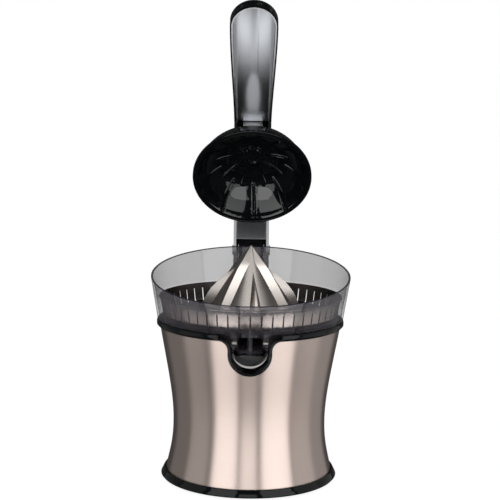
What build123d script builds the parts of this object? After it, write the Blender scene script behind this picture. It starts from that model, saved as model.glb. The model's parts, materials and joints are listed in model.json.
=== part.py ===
from build123d import *
import os
from math import atan2, cos, degrees, hypot, pi, radians, sin, tan

# Lever citrus juice press: an hourglass steel body with a motor inside, a clear
# juice bowl with a slotted steel strainer and a turning steel cone, and a hinged
# lever that brings a ribbed dome down on the fruit. Millimetres, +Z up, the cone
# turns about Z, the front with the juice notch is -Y, and the table is z = 0.
# The lever is drawn lying level and is then turned up to the pose it rests in.

os.makedirs("parts", exist_ok=True)

# ---------------------------------------------------------------- clearances
SLIP = 0.05              # a pin or journal in its bore, measured on the radius
GAP = 0.3                # two neighbours that only lie beside each other
REACH = 200.0            # length of a cutting tool that runs right through

# ---------------------------------------------------------------- base
FOOT_R = 8.0
FOOT_H = 3.2
FOOT_PITCH_R = 62.0
FOOT_SUNK = 1.2          # how far a foot sits in its pocket in the plate
BASE_R = 84.7            # widest circle of the black base ring
BASE_TOP_R = 81.6
BASE_Z = 1.6             # underside of the ring and the plate
BASE_TOP_Z = 9.0
BASE_WALL = 2.6
LEDGE_R = 76.0           # inner edge of the ledge that the sleeve stands on
PLATE_T = 2.6
SCREW_R = 1.6
SCREW_HEAD_R = 3.1
SCREW_HEAD_H = 1.6
BASE_SCREW_PITCH_R = 68.0
BASE_SCREW_BEARINGS = (45.0, 135.0, 225.0, 315.0)
FOOT_BEARINGS = (0.0, 90.0, 180.0, 270.0)
VENT_LENGTH = 34.0
VENT_WIDTH = 3.0
VENT_PITCH = 8.0
VENT_COUNT = 5

# ---------------------------------------------------------------- steel sleeve
SLEEVE_T = 1.0
SLEEVE_LOW_R = 80.6
WAIST_R = 73.1
WAIST_Z = 56.0
SLEEVE_TOP_R = 86.3
SLEEVE_TOP_Z = 148.2
SLEEVE_Z = 5.0           # lower edge, standing on the ring's ledge

# ---------------------------------------------------------------- juice notch
NOTCH_HALF = 20.3        # half width of the cut in the steel
NOTCH_CENTRE_Z = 135.5   # centre of the notch's round bottom
NOTCH_FLARE = 9.0        # radius where the notch meets the sleeve's top edge
LINER_T = 2.3
LINER_BACK_Y = -62.0
LINER_PROUD = 0.8

# ---------------------------------------------------------------- top deck
COLLAR_OVERHANG = 3.2    # the collar's width outside the sleeve's top edge
COLLAR_R = SLEEVE_TOP_R + COLLAR_OVERHANG
COLLAR_TOP_Z = 155.3
COLLAR_ROUND = 3.0
SKIRT_T = 1.6
SKIRT_ROOM = 3.2         # between the skirt and the sleeve's top edge
RECESS_R = SLEEVE_TOP_R - SLEEVE_T - SKIRT_ROOM - SKIRT_T
DECK_Z = 133.0
DECK_T = 2.5
BOSS_R = 13.0            # boss under the deck that carries the gear's journal
BOSS_LOW_Z = 129.5
UPSTAND_R = 10.0
UPSTAND_BORE = 8.0
UPSTAND_TOP_Z = 152.0
SCREW_BLOCK_HALF = 5.0   # blocks at the back for the tower's screws
SCREW_BLOCK_IN_Y = 64.0
SCREW_BLOCK_OUT_Y = 77.6

# ---------------------------------------------------------------- juice bowl
BOWL_T = 2.0
BOWL_FIT = 0.5           # room round the bowl in the deck's recess
BOWL_LOW_R = RECESS_R - BOWL_FIT
BOWL_FLOOR_Z = 138.0
BOWL_FOOT_ROUND = 6.0
BOWL_R = COLLAR_R - BOWL_FIT    # outside, where the bowl leaves the collar
BOWL_FLARE = 0.162       # radius gained for each millimetre of height
RIM_FRONT_Z = 182.0      # the rim is cut on a slope, low at the front
RIM_BACK_Z = 211.0
CHIMNEY_R = 12.8
CHIMNEY_BORE = 10.6
CHIMNEY_TOP_Z = 163.0
OUTLET_HALF = 11.0
OUTLET_H = 11.0
TONGUE_Y = -85.5
PEG_R = 2.1
PEG_Y = -86.0
PEG_LOW_Z = 136.0

# ---------------------------------------------------------------- drip spout
SPOUT_R = 16.3
SPOUT_T = 1.8
SPOUT_CENTRE_Z = 145.5
SPOUT_TOP_Z = 150.0
SPOUT_BACK_Y = -82.5
SPOUT_FRONT_Y = -98.5
SPOUT_FALL = 2.4         # how far the trough drops to its lip
SPOUT_PIVOT_Y = -84.5
SPOUT_PIVOT_Z = 147.0
SPOUT_PIN_R = 1.4
EAR_T = 2.0
EAR_HALF = 2.6

# ---------------------------------------------------------------- strainer
STRAINER_ROOM = 3.0      # between the dish and the bowl's wall
STRAINER_WALL_R = BOWL_R - BOWL_T - STRAINER_ROOM   # outside, where the floor's round ends
STRAINER_R = STRAINER_WALL_R + 3.6
STRAINER_FLOOR_R = STRAINER_WALL_R - 4.5
STRAINER_TOP_Z = 176.5
STRAINER_T = 0.8
STRAINER_LIP = 1.2
STRAINER_ROUND = 3.6     # height of that round
STRAINER_RISE_R = 46.0
STRAINER_RISE = 2.4      # the floor's middle stands higher by this
STRAINER_EYE_R = 14.0
STRAINER_EYE_H = 3.2
SLOT_COUNT = 52
SLOT_W = 1.5
SLOT_LOW = 1.3           # slot's lower end above the floor's underside
SLOT_TOP_Z = 171.8

# ---------------------------------------------------------------- reamer
CONE_R = 46.4
CONE_Z = 168.0
CONE_TOP_Z = 225.0
CONE_TIP_R = 1.5         # ball at the tip
FLUTE_R = 40.0           # foot of the straight cone that the ridges stand on
FLUTE_TIP_R = 0.4
FLANGE_T = 1.6
RIDGE_COUNT = 4
RIDGE_TURN = -38.0       # bearing of the first tall ridge, from the front
RIDGE_SECTIONS = (       # height, radius of the crest, half width at the flutes
    (224.6, 0.45, 0.3), (211.0, 14.3, 7.4), (204.0, 21.5, 6.1), (186.0, 35.4, 5.3),
    (170.6, 46.2, 4.6), (168.0, 46.2, 4.5),
)
RIDGE_CREST_HALF = 0.4
RIDGE_SUNK = 0.3         # how deep a ridge's foot reaches into the cone
RIB_TOP_Z = 203.0
RIB_HALF = 6.6           # half width of a low rib at the cone's foot
RIB_CREST_HALF = 1.5
RIB_H = 9.4
RIB_SUNK = 2.0
RIB_REACH = 0.8          # share of the rib's bulge that is passed at the foot
RIB_STEPS = 7
CONE_WALL = 8.0          # from the cone's edge in to the hollow under it
HUB_R = 9.6
HUB_TOP_Z = 196.0
HUB_LOW_Z = 170.0
HUB_DISC_R = 30.0
DRIVE_AF = 8.0           # across the flats of the spindle's hexagon

# ---------------------------------------------------------------- gear train
GEAR_M = 1.5             # module of the output pair
PINION_M = 1.0           # module of the motor pair
OUTPUT_TEETH = 48
IDLER_SMALL_TEETH = 14
IDLER_LARGE_TEETH = 46
MOTOR_TEETH = 12
IDLER_BEARING = 150.0    # direction from the spindle to the idler
MOTOR_R = 34.0           # from the spindle to the motor's shaft
OUTPUT_GEAR_Z = 116.0
OUTPUT_GEAR_H = 10.0
IDLER_GEAR_Z = 104.0
IDLER_GEAR_H = 7.0
HUB_JOURNAL_R = 9.0
BUSH_R = HUB_JOURNAL_R + 3.0
GEARBOX_Z = 96.0
GEARBOX_T = 3.0
GEARBOX_R = 66.0
POST_R = 4.5
POST_PITCH_R = 58.0
POST_BEARINGS = (35.0, 110.0, 225.0, 315.0)
AXLE_R = 3.0
MOTOR_CAN_R = 23.0
MOTOR_CAN_H = 58.0
MOTOR_SHAFT_R = 2.5
MOTOR_NOSE_R = 7.0
MOTOR_SCREW_PITCH = 15.0

# ---------------------------------------------------------------- spindle
SPINDLE_R = 4.0
SPINDLE_LOW_Z = 92.0
SPINDLE_TOP_Z = 190.0
SPLINE_AF = 9.6
SPLINE_TOP_Z = 134.0
THRUST_R = 7.2
THRUST_Z = 145.0
THRUST_T = 2.0
TRAVEL = 2.5             # how far the cone goes down to start the motor
SEAL_T = 3.0
SPRING_R = 5.9
SPRING_WIRE = 1.2
SPRING_TURNS = 3.0
SWITCH_X = 9.0
SWITCH_Y = 24.0
SWITCH_H = 15.0
PLUNGER_R = 2.0
PLUNGER_H = 6.0

# ---------------------------------------------------------------- hinge tower
HINGE_Y = 112.0
HINGE_Z = 204.5
HINGE_R = 8.0            # round end of the lever's cheeks and of the barrel
PIN_R = 3.0
BARREL_HALF = 12.9
TOWER_HALF = 18.2
TOWER_ROOM = 1.6         # between the tower and the bowl's rim
TOWER_BACK_Y = HINGE_Y + 9.0
TOWER_LOW_Z = 114.0
SHOULDER_Z = HINGE_Z - HINGE_R - 0.9
TOWER_SCREW_X = 11.0
TOWER_SCREW_Z = 124.0
TOWER_SCREW_R = 2.0
TOWER_SCREW_HEAD_R = 3.8
TOWER_SCREW_HEAD_H = 3.0
TOWER_SEAT_Y = 96.0      # seat of the screws' heads in the tower
TOWER_SCREW_IN_Y = 66.0
TORSION_R = 4.7
TORSION_WIRE = 1.4
TORSION_TURNS = 6.0
GLAND_Z = 24.0
GLAND_R = 6.5
GLAND_BORE = 3.4

# ---------------------------------------------------------------- lever
OPEN_TURN = 55.1         # turned up by this from the level drawing
LEVER_Z = 236.0          # underside of the level lever
LEVER_TIP_Y = -164.2
LEVER_HALF = 18.2
GRIP_HALF = 22.6         # half width, and radius, of the round grip end
GRIP_START_Y = -22.0     # the lever starts to widen here
LEVER_T = 13.5
TRIM_H = 3.0
TRIM_W = 2.8
PANEL_H = 2.0
BEND_R = 22.0            # underside radius of the elbow
BEND_ANGLE = 60.0
SHELL_ROUND = 3.6
PANEL_FRONT_GAP = 0.3
PANEL_END_Y = -31.0      # the grip panel stops short of the dome carrier
CAP_R = 5.0
CAP_T = 1.2

# ---------------------------------------------------------------- press dome
DOME_R = 57.75
DOME_DEPTH = 37.0
DOME_T = 2.6
DOME_RIB_COUNT = 10      # in each of the two rings
DOME_RIB_TURN = 87.0     # bearing of the first rib of the outer ring
DOME_RIB_T = 2.0
DOME_RIB_H = 2.2
OUTER_RIB_START = 32.0
OUTER_RIB_END = 54.0
INNER_RIB_START = 8.0
INNER_RIB_END = 35.0
DOME_BOSS_R = 11.0
DOME_BOSS_H = 2.6
DOME_PIVOT_Z = LEVER_Z - 6.8
LUG_RISE = 5.6           # from the top of the bell to the pivot
DOME_RIM_Z = DOME_PIVOT_Z - LUG_RISE - DOME_DEPTH    # rim in the level drawing
DOME_PIN_R = 2.5
LUG_HALF = 7.6
LUG_R = 5.4
CARRIER_HALF = 12.4
CARRIER_FRONT_Y = -27.0
CARRIER_BACK_Y = 20.0
CARRIER_LOW_Z = DOME_PIVOT_Z - 1.8
STEP_HALF = 9.6
STEP_FRONT_Y = -33.0


# ================================================================ helpers
def turned(profile):
    """A solid of revolution about Z from a closed wire of (radius, z)."""
    return revolve(Plane.XZ * make_face(profile), Axis.Z)


def lathe(points):
    """A solid of revolution about Z from (radius, z) corners."""
    return turned(Polyline(*points, close=True))


def disc(radius, low, high, x=0.0, y=0.0):
    """An upright cylinder between two heights."""
    return Pos(x, y, (low + high) / 2) * Cylinder(radius, high - low)


def tube(outer, inner, low, high, x=0.0, y=0.0):
    """An upright tube between two heights."""
    return disc(outer, low, high, x, y) - disc(inner, low - 1, high + 1, x, y)


def block(x0, x1, y0, y1, z0, z1):
    """A box between two corners."""
    return Pos((x0 + x1) / 2, (y0 + y1) / 2, (z0 + z1) / 2) * Box(x1 - x0, y1 - y0, z1 - z0)


def rod_x(radius, x0, x1, y, z):
    """A cylinder along X."""
    return Pos((x0 + x1) / 2, y, z) * Rot(0, 90, 0) * Cylinder(radius, x1 - x0)


def rod_y(radius, y0, y1, x, z):
    """A cylinder along Y."""
    return Pos(x, (y0 + y1) / 2, z) * Rot(90, 0, 0) * Cylinder(radius, y1 - y0)


def around(radius, bearing):
    """The (x, y) of a point at a bearing, in degrees from +X."""
    return radius * cos(radians(bearing)), radius * sin(radians(bearing))


def hexagon(across_flats, low, high):
    """An upright hexagonal bar."""
    face = RegularPolygon(across_flats / 2, 6, major_radius=False)
    return Pos(0, 0, low) * extrude(face, high - low)


def bowl_radius(z):
    """Outside radius of the flaring juice bowl at a height."""
    return BOWL_R + BOWL_FLARE * (z - COLLAR_TOP_Z)


def save(node, *solids):
    """Write one node, as one solid or as a group of separate ones."""
    shape = solids[0] if len(solids) == 1 else Compound(children=list(solids))
    export_step(shape, f"parts/{node}.step")


# ================================================================ body shell
def sleeve_line(shift, low=SLEEVE_Z, high=SLEEVE_TOP_Z):
    """The hourglass curve of the sleeve, moved outwards by a shift."""
    foot = (SLEEVE_LOW_R + shift, low)
    waist = (WAIST_R + shift, WAIST_Z)
    top = (SLEEVE_TOP_R + shift, high)
    lower = Bezier(foot, (foot[0] - 3.4, low + 17), (waist[0], WAIST_Z - 24), waist)
    upper = Bezier(waist, (waist[0], WAIST_Z + 26), (top[0] - 6.2, high - 36), top)
    return [lower, upper]


def sleeve_solid(shift):
    """Everything inside the hourglass curve, as one plug."""
    curve = sleeve_line(shift)
    top_r = SLEEVE_TOP_R + shift
    low_r = SLEEVE_LOW_R + shift
    close = Polyline((top_r, SLEEVE_TOP_Z), (0, SLEEVE_TOP_Z), (0, SLEEVE_Z), (low_r, SLEEVE_Z))
    return turned(curve + [close])


def notch_prism(half, flare, top, y0, y1):
    """The U of the juice notch with rounded upper corners, along Y."""
    low = NOTCH_CENTRE_Z
    turn = top - flare
    outline = [
        ThreePointArc((-half, low), (0, low - half), (half, low)),
        Line((half, low), (half, turn)),
        RadiusArc((half, turn), (half + flare, top), flare),
        Polyline((half + flare, top), (half + flare, top + 20), (-half - flare, top + 20),
                 (-half - flare, top)),
        RadiusArc((-half - flare, top), (-half, turn), flare),
        Line((-half, turn), (-half, low)),
    ]
    face = Plane((0, y1, 0), x_dir=(1, 0, 0), z_dir=(0, -1, 0)) * make_face(outline)
    return extrude(face, y1 - y0)


def make_sleeve():
    """Brushed steel hourglass with the notch, screw holes and cord hole."""
    outer = sleeve_solid(0.0)
    inner = sleeve_solid(-SLEEVE_T)
    shell = outer - open_ended(inner)
    shell -= notch_prism(NOTCH_HALF, NOTCH_FLARE, SLEEVE_TOP_Z, -110, -60)
    for side in (-1, 1):
        shell -= rod_y(TOWER_SCREW_R + GAP, 60, 100, side * TOWER_SCREW_X, TOWER_SCREW_Z)
    shell -= rod_y(GLAND_R + SLIP, 60, 100, 0, GLAND_Z)
    return shell


def open_ended(core):
    """The sleeve's core, run on past both of its ends."""
    ends = disc(SLEEVE_LOW_R - SLEEVE_T, SLEEVE_Z - 5, SLEEVE_Z)
    ends += disc(SLEEVE_TOP_R - SLEEVE_T, SLEEVE_TOP_Z, SLEEVE_TOP_Z + 5)
    return core + ends


def make_base_ring():
    """Black ring that the sleeve stands in, on an inner ledge."""
    inner_r = SLEEVE_LOW_R + 0.15
    profile = [
        (LEDGE_R, BASE_Z), (BASE_R - 1.2, BASE_Z), (BASE_R, BASE_Z + 1.4),
        (BASE_TOP_R + 0.4, BASE_TOP_Z - 0.6), (BASE_TOP_R, BASE_TOP_Z), (inner_r, BASE_TOP_Z),
        (inner_r, SLEEVE_Z), (LEDGE_R, SLEEVE_Z),
    ]
    ring = lathe(profile)
    for bearing in BASE_SCREW_BEARINGS:
        x, y = around(BASE_SCREW_PITCH_R, bearing)
        lug = disc(SCREW_HEAD_R + 1.8, BASE_Z + PLATE_T, SLEEVE_Z + 4, x, y)
        bridge_x, bridge_y = around(LEDGE_R - 1.5, bearing)
        lug += disc(SCREW_HEAD_R + 1.0, BASE_Z + PLATE_T, SLEEVE_Z, bridge_x, bridge_y)
        ring += lug
    for bearing in BASE_SCREW_BEARINGS:
        x, y = around(BASE_SCREW_PITCH_R, bearing)
        ring -= disc(SCREW_R, BASE_Z, SLEEVE_Z + 3, x, y)
    seat = tube(SLEEVE_LOW_R + 0.15, SLEEVE_LOW_R - 4, SLEEVE_Z, SLEEVE_Z + 6)
    return ring - seat


def make_bottom_plate():
    """Flat cover under the motor, with vents, foot pockets and screw holes."""
    plate = disc(LEDGE_R - GAP, BASE_Z, BASE_Z + PLATE_T)
    for bearing in BASE_SCREW_BEARINGS:
        x, y = around(BASE_SCREW_PITCH_R, bearing)
        plate -= disc(SCREW_R + 0.2, 0, 10, x, y)
        plate -= disc(SCREW_HEAD_R + 0.2, 0, BASE_Z + SCREW_HEAD_H, x, y)
    for bearing in FOOT_BEARINGS:
        x, y = around(FOOT_PITCH_R, bearing)
        plate -= disc(FOOT_R + SLIP, 0, BASE_Z + FOOT_SUNK, x, y)
    first = -(VENT_COUNT - 1) / 2 * VENT_PITCH
    for index in range(VENT_COUNT):
        y = first + index * VENT_PITCH
        plate -= block(-VENT_LENGTH / 2, VENT_LENGTH / 2, y - VENT_WIDTH / 2, y + VENT_WIDTH / 2, 0, 10)
    return plate


def make_feet():
    """Four rubber feet in their pockets."""
    feet = []
    for bearing in FOOT_BEARINGS:
        x, y = around(FOOT_PITCH_R, bearing)
        feet.append(disc(FOOT_R, 0, BASE_Z + FOOT_SUNK, x, y))
    return feet


def make_base_screws():
    """Four screws that hold the plate to the ring's lugs."""
    screws = []
    for bearing in BASE_SCREW_BEARINGS:
        x, y = around(BASE_SCREW_PITCH_R, bearing)
        head = disc(SCREW_HEAD_R, BASE_Z + 0.2, BASE_Z + SCREW_HEAD_H, x, y)
        screws.append(head + disc(SCREW_R - SLIP, BASE_Z + 0.2, SLEEVE_Z + 2.5, x, y))
    return screws


def make_deck():
    """Black top moulding: collar, recess for the bowl, notch liner and bosses."""
    skirt_r = RECESS_R + SKIRT_T
    corner = COLLAR_ROUND
    low = SLEEVE_TOP_Z + GAP
    outline = [
        Polyline((RECESS_R, DECK_Z + DECK_T), (RECESS_R, COLLAR_TOP_Z), (COLLAR_R - corner, COLLAR_TOP_Z)),
        RadiusArc((COLLAR_R - corner, COLLAR_TOP_Z), (COLLAR_R, COLLAR_TOP_Z - corner), corner),
        Polyline((COLLAR_R, COLLAR_TOP_Z - corner), (COLLAR_R, low + 1.5), (COLLAR_R - 1.5, low),
                 (skirt_r, low), (skirt_r, DECK_Z), (HUB_JOURNAL_R + SLIP, DECK_Z),
                 (HUB_JOURNAL_R + SLIP, DECK_Z + DECK_T), (RECESS_R, DECK_Z + DECK_T)),
    ]
    deck = turned(outline)
    deck += tube(UPSTAND_R, UPSTAND_BORE, DECK_Z + DECK_T, UPSTAND_TOP_Z)
    deck += tube(UPSTAND_R, UPSTAND_BORE, DECK_Z + 1.0, DECK_Z + DECK_T)
    deck += tube(BOSS_R, HUB_JOURNAL_R + SLIP, BOSS_LOW_Z, DECK_Z)
    liner = notch_prism(NOTCH_HALF - GAP, NOTCH_FLARE + GAP, SLEEVE_TOP_Z + GAP, -110, LINER_BACK_Y)
    reach = sleeve_solid(LINER_PROUD)
    reach += disc(SLEEVE_TOP_R + LINER_PROUD, SLEEVE_TOP_Z, SLEEVE_TOP_Z + 1)
    deck += (liner & reach) - disc(RECESS_R, DECK_Z + DECK_T, COLLAR_TOP_Z)
    for bearing in POST_BEARINGS:
        x, y = around(POST_PITCH_R, bearing)
        deck += disc(POST_R, GEARBOX_Z + GEARBOX_T, DECK_Z, x, y)
        deck -= disc(SCREW_R, GEARBOX_Z, GEARBOX_Z + GEARBOX_T + 12, x, y)
    for side in (-1, 1):
        x = side * TOWER_SCREW_X
        deck += block(x - SCREW_BLOCK_HALF, x + SCREW_BLOCK_HALF, SCREW_BLOCK_IN_Y, SCREW_BLOCK_OUT_Y,
                      TOWER_SCREW_Z - SCREW_BLOCK_HALF - 1, DECK_Z)
        deck -= rod_y(TOWER_SCREW_R, 62, 90, x, TOWER_SCREW_Z)
    shift = GAP + LINER_T
    tunnel = notch_prism(NOTCH_HALF - shift, NOTCH_FLARE + shift, SLEEVE_TOP_Z + shift, -110,
                         LINER_BACK_Y - LINER_T)
    return deck - tunnel


def make_gland():
    """Rear bush where the mains lead enters the body."""
    outer_y = SLEEVE_LOW_R - 1.0
    body = rod_y(GLAND_R + 2.5, WAIST_R, outer_y, 0, GLAND_Z) - sleeve_solid(SLIP)
    body += rod_y(GLAND_R, WAIST_R - 5, outer_y, 0, GLAND_Z)
    return body - rod_y(GLAND_BORE, WAIST_R - 8, outer_y + 3, 0, GLAND_Z)


# ================================================================ hinge tower
def make_tower():
    """Rear column that carries the lever's barrel, cut to fit round the body."""
    shoulder = SHOULDER_Z
    side = [
        Polyline((70, TOWER_LOW_Z), (70, shoulder), (TOWER_BACK_Y - 2, shoulder),
                 (TOWER_BACK_Y, shoulder - 2), (TOWER_BACK_Y, 156)),
        ThreePointArc((TOWER_BACK_Y, 156), (TOWER_BACK_Y - 8, 131), (88, TOWER_LOW_Z)),
        Line((88, TOWER_LOW_Z), (70, TOWER_LOW_Z)),
    ]
    wide = extrude(Plane.YZ * make_face(side), TOWER_HALF, both=True)
    neck = block(-BARREL_HALF, BARREL_HALF, HINGE_Y - HINGE_R, HINGE_Y + HINGE_R, shoulder - 1, HINGE_Z)
    tower = wide + neck + rod_x(HINGE_R, -BARREL_HALF, BARREL_HALF, HINGE_Y, HINGE_Z)
    tower -= disc(bowl_radius(RIM_BACK_Z) + TOWER_ROOM, COLLAR_TOP_Z - 2, REACH + HINGE_Z)
    tower -= disc(COLLAR_R + GAP, SLEEVE_TOP_Z - 1, COLLAR_TOP_Z + 1)
    tower -= sleeve_solid(GAP)
    tower -= pin_bore()
    pocket = TORSION_R + TORSION_WIRE / 2 + 0.5
    half = TORSION_TURNS * (TORSION_WIRE + 0.25) / 2 + 1.0
    tower -= rod_x(pocket, -half, half, HINGE_Y, HINGE_Z)
    tower -= block(-half, half, HINGE_Y, HINGE_Y + 20, HINGE_Z - pocket, HINGE_Z + pocket)
    for sign in (-1, 1):
        x = sign * TOWER_SCREW_X
        tower -= rod_y(TOWER_SCREW_R + 0.2, 0, REACH, x, TOWER_SCREW_Z)
        tower -= rod_y(TOWER_SCREW_HEAD_R + GAP, TOWER_SEAT_Y, REACH, x, TOWER_SCREW_Z)
    return tower


def make_tower_screws():
    """Two long screws from the tower into the deck's rear blocks."""
    screws = []
    for sign in (-1, 1):
        x = sign * TOWER_SCREW_X
        shank = rod_y(TOWER_SCREW_R - SLIP, TOWER_SCREW_IN_Y, TOWER_SEAT_Y, x, TOWER_SCREW_Z)
        head_y = TOWER_SEAT_Y + TOWER_SCREW_HEAD_H
        screws.append(shank + rod_y(TOWER_SCREW_HEAD_R, TOWER_SEAT_Y, head_y, x, TOWER_SCREW_Z))
    return screws


def coil(radius, wire, turns, pitch):
    """A helical spring along Z from z = 0."""
    path = Helix(pitch=pitch, height=pitch * turns, radius=radius)
    start = Plane(path @ 0, z_dir=path % 0)
    return sweep(start * RegularPolygon(wire / 2, 6), path)


def make_torsion_spring():
    """Spring round the hinge pin that holds the lever up."""
    pitch = TORSION_WIRE + 0.25
    body = coil(TORSION_R, TORSION_WIRE, TORSION_TURNS, pitch)
    return Pos(-pitch * TORSION_TURNS / 2, HINGE_Y, HINGE_Z) * Rot(0, 90, 0) * body


def make_hinge_pin():
    """Steel pin through both cheeks and the barrel."""
    return rod_x(PIN_R, -LEVER_HALF, LEVER_HALF, HINGE_Y, HINGE_Z)


# ================================================================ bowl group
def make_bowl():
    """Clear bowl with its sloping rim, chimney, outlet, ears and drip peg."""
    floor_top = BOWL_FLOOR_Z + BOWL_T
    inner_low = BOWL_LOW_R - BOWL_T
    top = RIM_BACK_Z + 3
    foot = BOWL_FOOT_ROUND
    flange_top = COLLAR_TOP_Z + BOWL_T
    profile = [
        (CHIMNEY_BORE, BOWL_FLOOR_Z), (CHIMNEY_BORE, CHIMNEY_TOP_Z), (CHIMNEY_R, CHIMNEY_TOP_Z),
        (CHIMNEY_R, floor_top), (inner_low - foot, floor_top), (inner_low, floor_top + foot),
        (inner_low, flange_top), (bowl_radius(flange_top) - BOWL_T, flange_top),
        (bowl_radius(top) - BOWL_T, top), (bowl_radius(top), top), (BOWL_R, COLLAR_TOP_Z),
        (BOWL_LOW_R, COLLAR_TOP_Z), (BOWL_LOW_R, BOWL_FLOOR_Z + foot), (BOWL_LOW_R - foot, BOWL_FLOOR_Z),
    ]
    bowl = lathe(profile)
    front_y = -bowl_radius(RIM_FRONT_Z)
    back_y = bowl_radius(RIM_BACK_Z)
    slope = atan2(RIM_BACK_Z - RIM_FRONT_Z, back_y - front_y)
    middle_y = (front_y + back_y) / 2
    middle_z = (RIM_FRONT_Z + RIM_BACK_Z) / 2
    above = Pos(0, middle_y, middle_z) * Rot(degrees(slope), 0, 0) * Pos(0, 0, 40) * Box(260, 260, 80)
    bowl -= above
    bowl -= block(-OUTLET_HALF, OUTLET_HALF, -BOWL_LOW_R - 2, -inner_low + foot + 2, floor_top,
                  floor_top + OUTLET_H)
    bowl += block(-OUTLET_HALF, OUTLET_HALF, TONGUE_Y, -inner_low + foot + 2, BOWL_FLOOR_Z, floor_top)
    bowl += disc(PEG_R, PEG_LOW_Z, COLLAR_TOP_Z + 1, 0, PEG_Y)
    ear_x = SPOUT_R - SPOUT_T - GAP - EAR_T / 2
    for side in (-1, 1):
        bowl += Pos(side * ear_x, 0, 0) * ear()
    return bowl


def ear():
    """One lug under the bowl's ledge, with the bore for a spout pin."""
    y, z = SPOUT_PIVOT_Y, SPOUT_PIVOT_Z
    top = COLLAR_TOP_Z + 1
    outline = [
        ThreePointArc((y - EAR_HALF, z), (y, z - EAR_HALF), (y + EAR_HALF, z)),
        Polyline((y + EAR_HALF, z), (y + EAR_HALF, top), (y - EAR_HALF, top), (y - EAR_HALF, z)),
    ]
    face = make_face(outline) - Pos(y, z) * Circle(SPOUT_PIN_R + 0.03)
    return extrude(Plane.YZ * face, EAR_T / 2, both=True)


def spout_section(radius, top):
    """The U of the trough, seen from the front."""
    centre = SPOUT_CENTRE_Z
    outline = [
        ThreePointArc((-radius, centre), (0, centre - radius), (radius, centre)),
        Polyline((radius, centre), (radius, top), (-radius, top), (-radius, centre)),
    ]
    return Plane((0, SPOUT_BACK_Y, 0), x_dir=(1, 0, 0), z_dir=(0, -1, 0)) * make_face(outline)


def make_spout():
    """Clear trough that tips up on two pins to stop the drip."""
    length = SPOUT_BACK_Y - SPOUT_FRONT_Y
    way = (0, -length, -SPOUT_FALL)
    reach = hypot(length, SPOUT_FALL)
    outer = extrude(spout_section(SPOUT_R, SPOUT_TOP_Z), reach, dir=way)
    inner = extrude(spout_section(SPOUT_R - SPOUT_T, SPOUT_TOP_Z + 5), reach * 1.2, dir=way)
    inner = Pos(0, -1.8, 0) * inner
    trough = outer - inner
    room = SPOUT_R - SPOUT_T
    trough -= block(-room, room, -90, -80, PEG_LOW_Z - 0.5, 170)
    trough -= block(-20, 20, -120, SPOUT_FRONT_Y, 100, 170)
    for side in (-1, 1):
        trough -= rod_x(SPOUT_PIN_R + SLIP, side * 15 - 4, side * 15 + 4, SPOUT_PIVOT_Y, SPOUT_PIVOT_Z)
    return trough


def make_spout_pins():
    """Two short pins between the bowl's ears and the trough."""
    pins = []
    for side in (-1, 1):
        x0, x1 = sorted((side * (SPOUT_R - SPOUT_T - GAP - EAR_T), side * SPOUT_R))
        pins.append(rod_x(SPOUT_PIN_R, x0, x1, SPOUT_PIVOT_Y, SPOUT_PIVOT_Z))
    return pins


def strainer_profile():
    """Closed section of the pressed strainer dish, lying on the bowl's ledge."""
    t = STRAINER_T
    low = COLLAR_TOP_Z + BOWL_T + GAP
    rise = low + STRAINER_RISE
    outside = [
        (STRAINER_EYE_R, rise + STRAINER_EYE_H), (STRAINER_EYE_R, rise), (STRAINER_RISE_R, rise),
        (STRAINER_RISE_R + 8, low), (STRAINER_FLOOR_R, low),
        (STRAINER_WALL_R - 1.2, low + 1.0), (STRAINER_WALL_R, low + STRAINER_ROUND),
        (STRAINER_R - STRAINER_LIP, STRAINER_TOP_Z - t), (STRAINER_R, STRAINER_TOP_Z - t),
        (STRAINER_R, STRAINER_TOP_Z),
    ]
    inside = [
        (STRAINER_R - STRAINER_LIP - t, STRAINER_TOP_Z), (STRAINER_WALL_R - t, low + STRAINER_ROUND),
        (STRAINER_WALL_R - 1.6, low + 1.5), (STRAINER_FLOOR_R, low + t),
        (STRAINER_RISE_R + 8, low + t), (STRAINER_RISE_R, rise + t), (STRAINER_EYE_R + t, rise + t),
        (STRAINER_EYE_R + t, rise + STRAINER_EYE_H),
    ]
    return outside + inside


def make_strainer():
    """Steel dish with a ring of upright slots in its wall."""
    dish = lathe(strainer_profile())
    low = COLLAR_TOP_Z + BOWL_T + GAP + SLOT_LOW
    middle = (SLOT_TOP_Z + low) / 2
    cut_r = STRAINER_WALL_R + 1
    slots = []
    for index in range(SLOT_COUNT):
        bearing = -90 + index * 360 / SLOT_COUNT
        slots.append(Rot(0, 0, bearing) * Pos(cut_r, 0, middle) * Box(8, SLOT_W, SLOT_TOP_Z - low))
    return dish - slots


# ================================================================ reamer
def flute_radius(z):
    """Radius of the straight cone between the ridges at a height."""
    return (CONE_TOP_Z - z) * FLUTE_R / (CONE_TOP_Z - CONE_Z)


def ridge(bearing):
    """One tall sharp ridge from the tip, where four of them make a pyramid, to the foot."""
    sections = []
    for z, crest, half in RIDGE_SECTIONS:
        foot = (max(flute_radius(z) - RIDGE_SUNK, half * 1.05) ** 2 - half ** 2) ** 0.5
        edge = min(RIDGE_CREST_HALF, half / 2)
        outline = Polyline((0, 0), (foot, -half), (crest, -edge), (crest, edge), (foot, half), close=True)
        sections.append(Pos(0, 0, z) * make_face(outline))
    return Rot(0, 0, bearing) * loft(sections, ruled=True)


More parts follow.
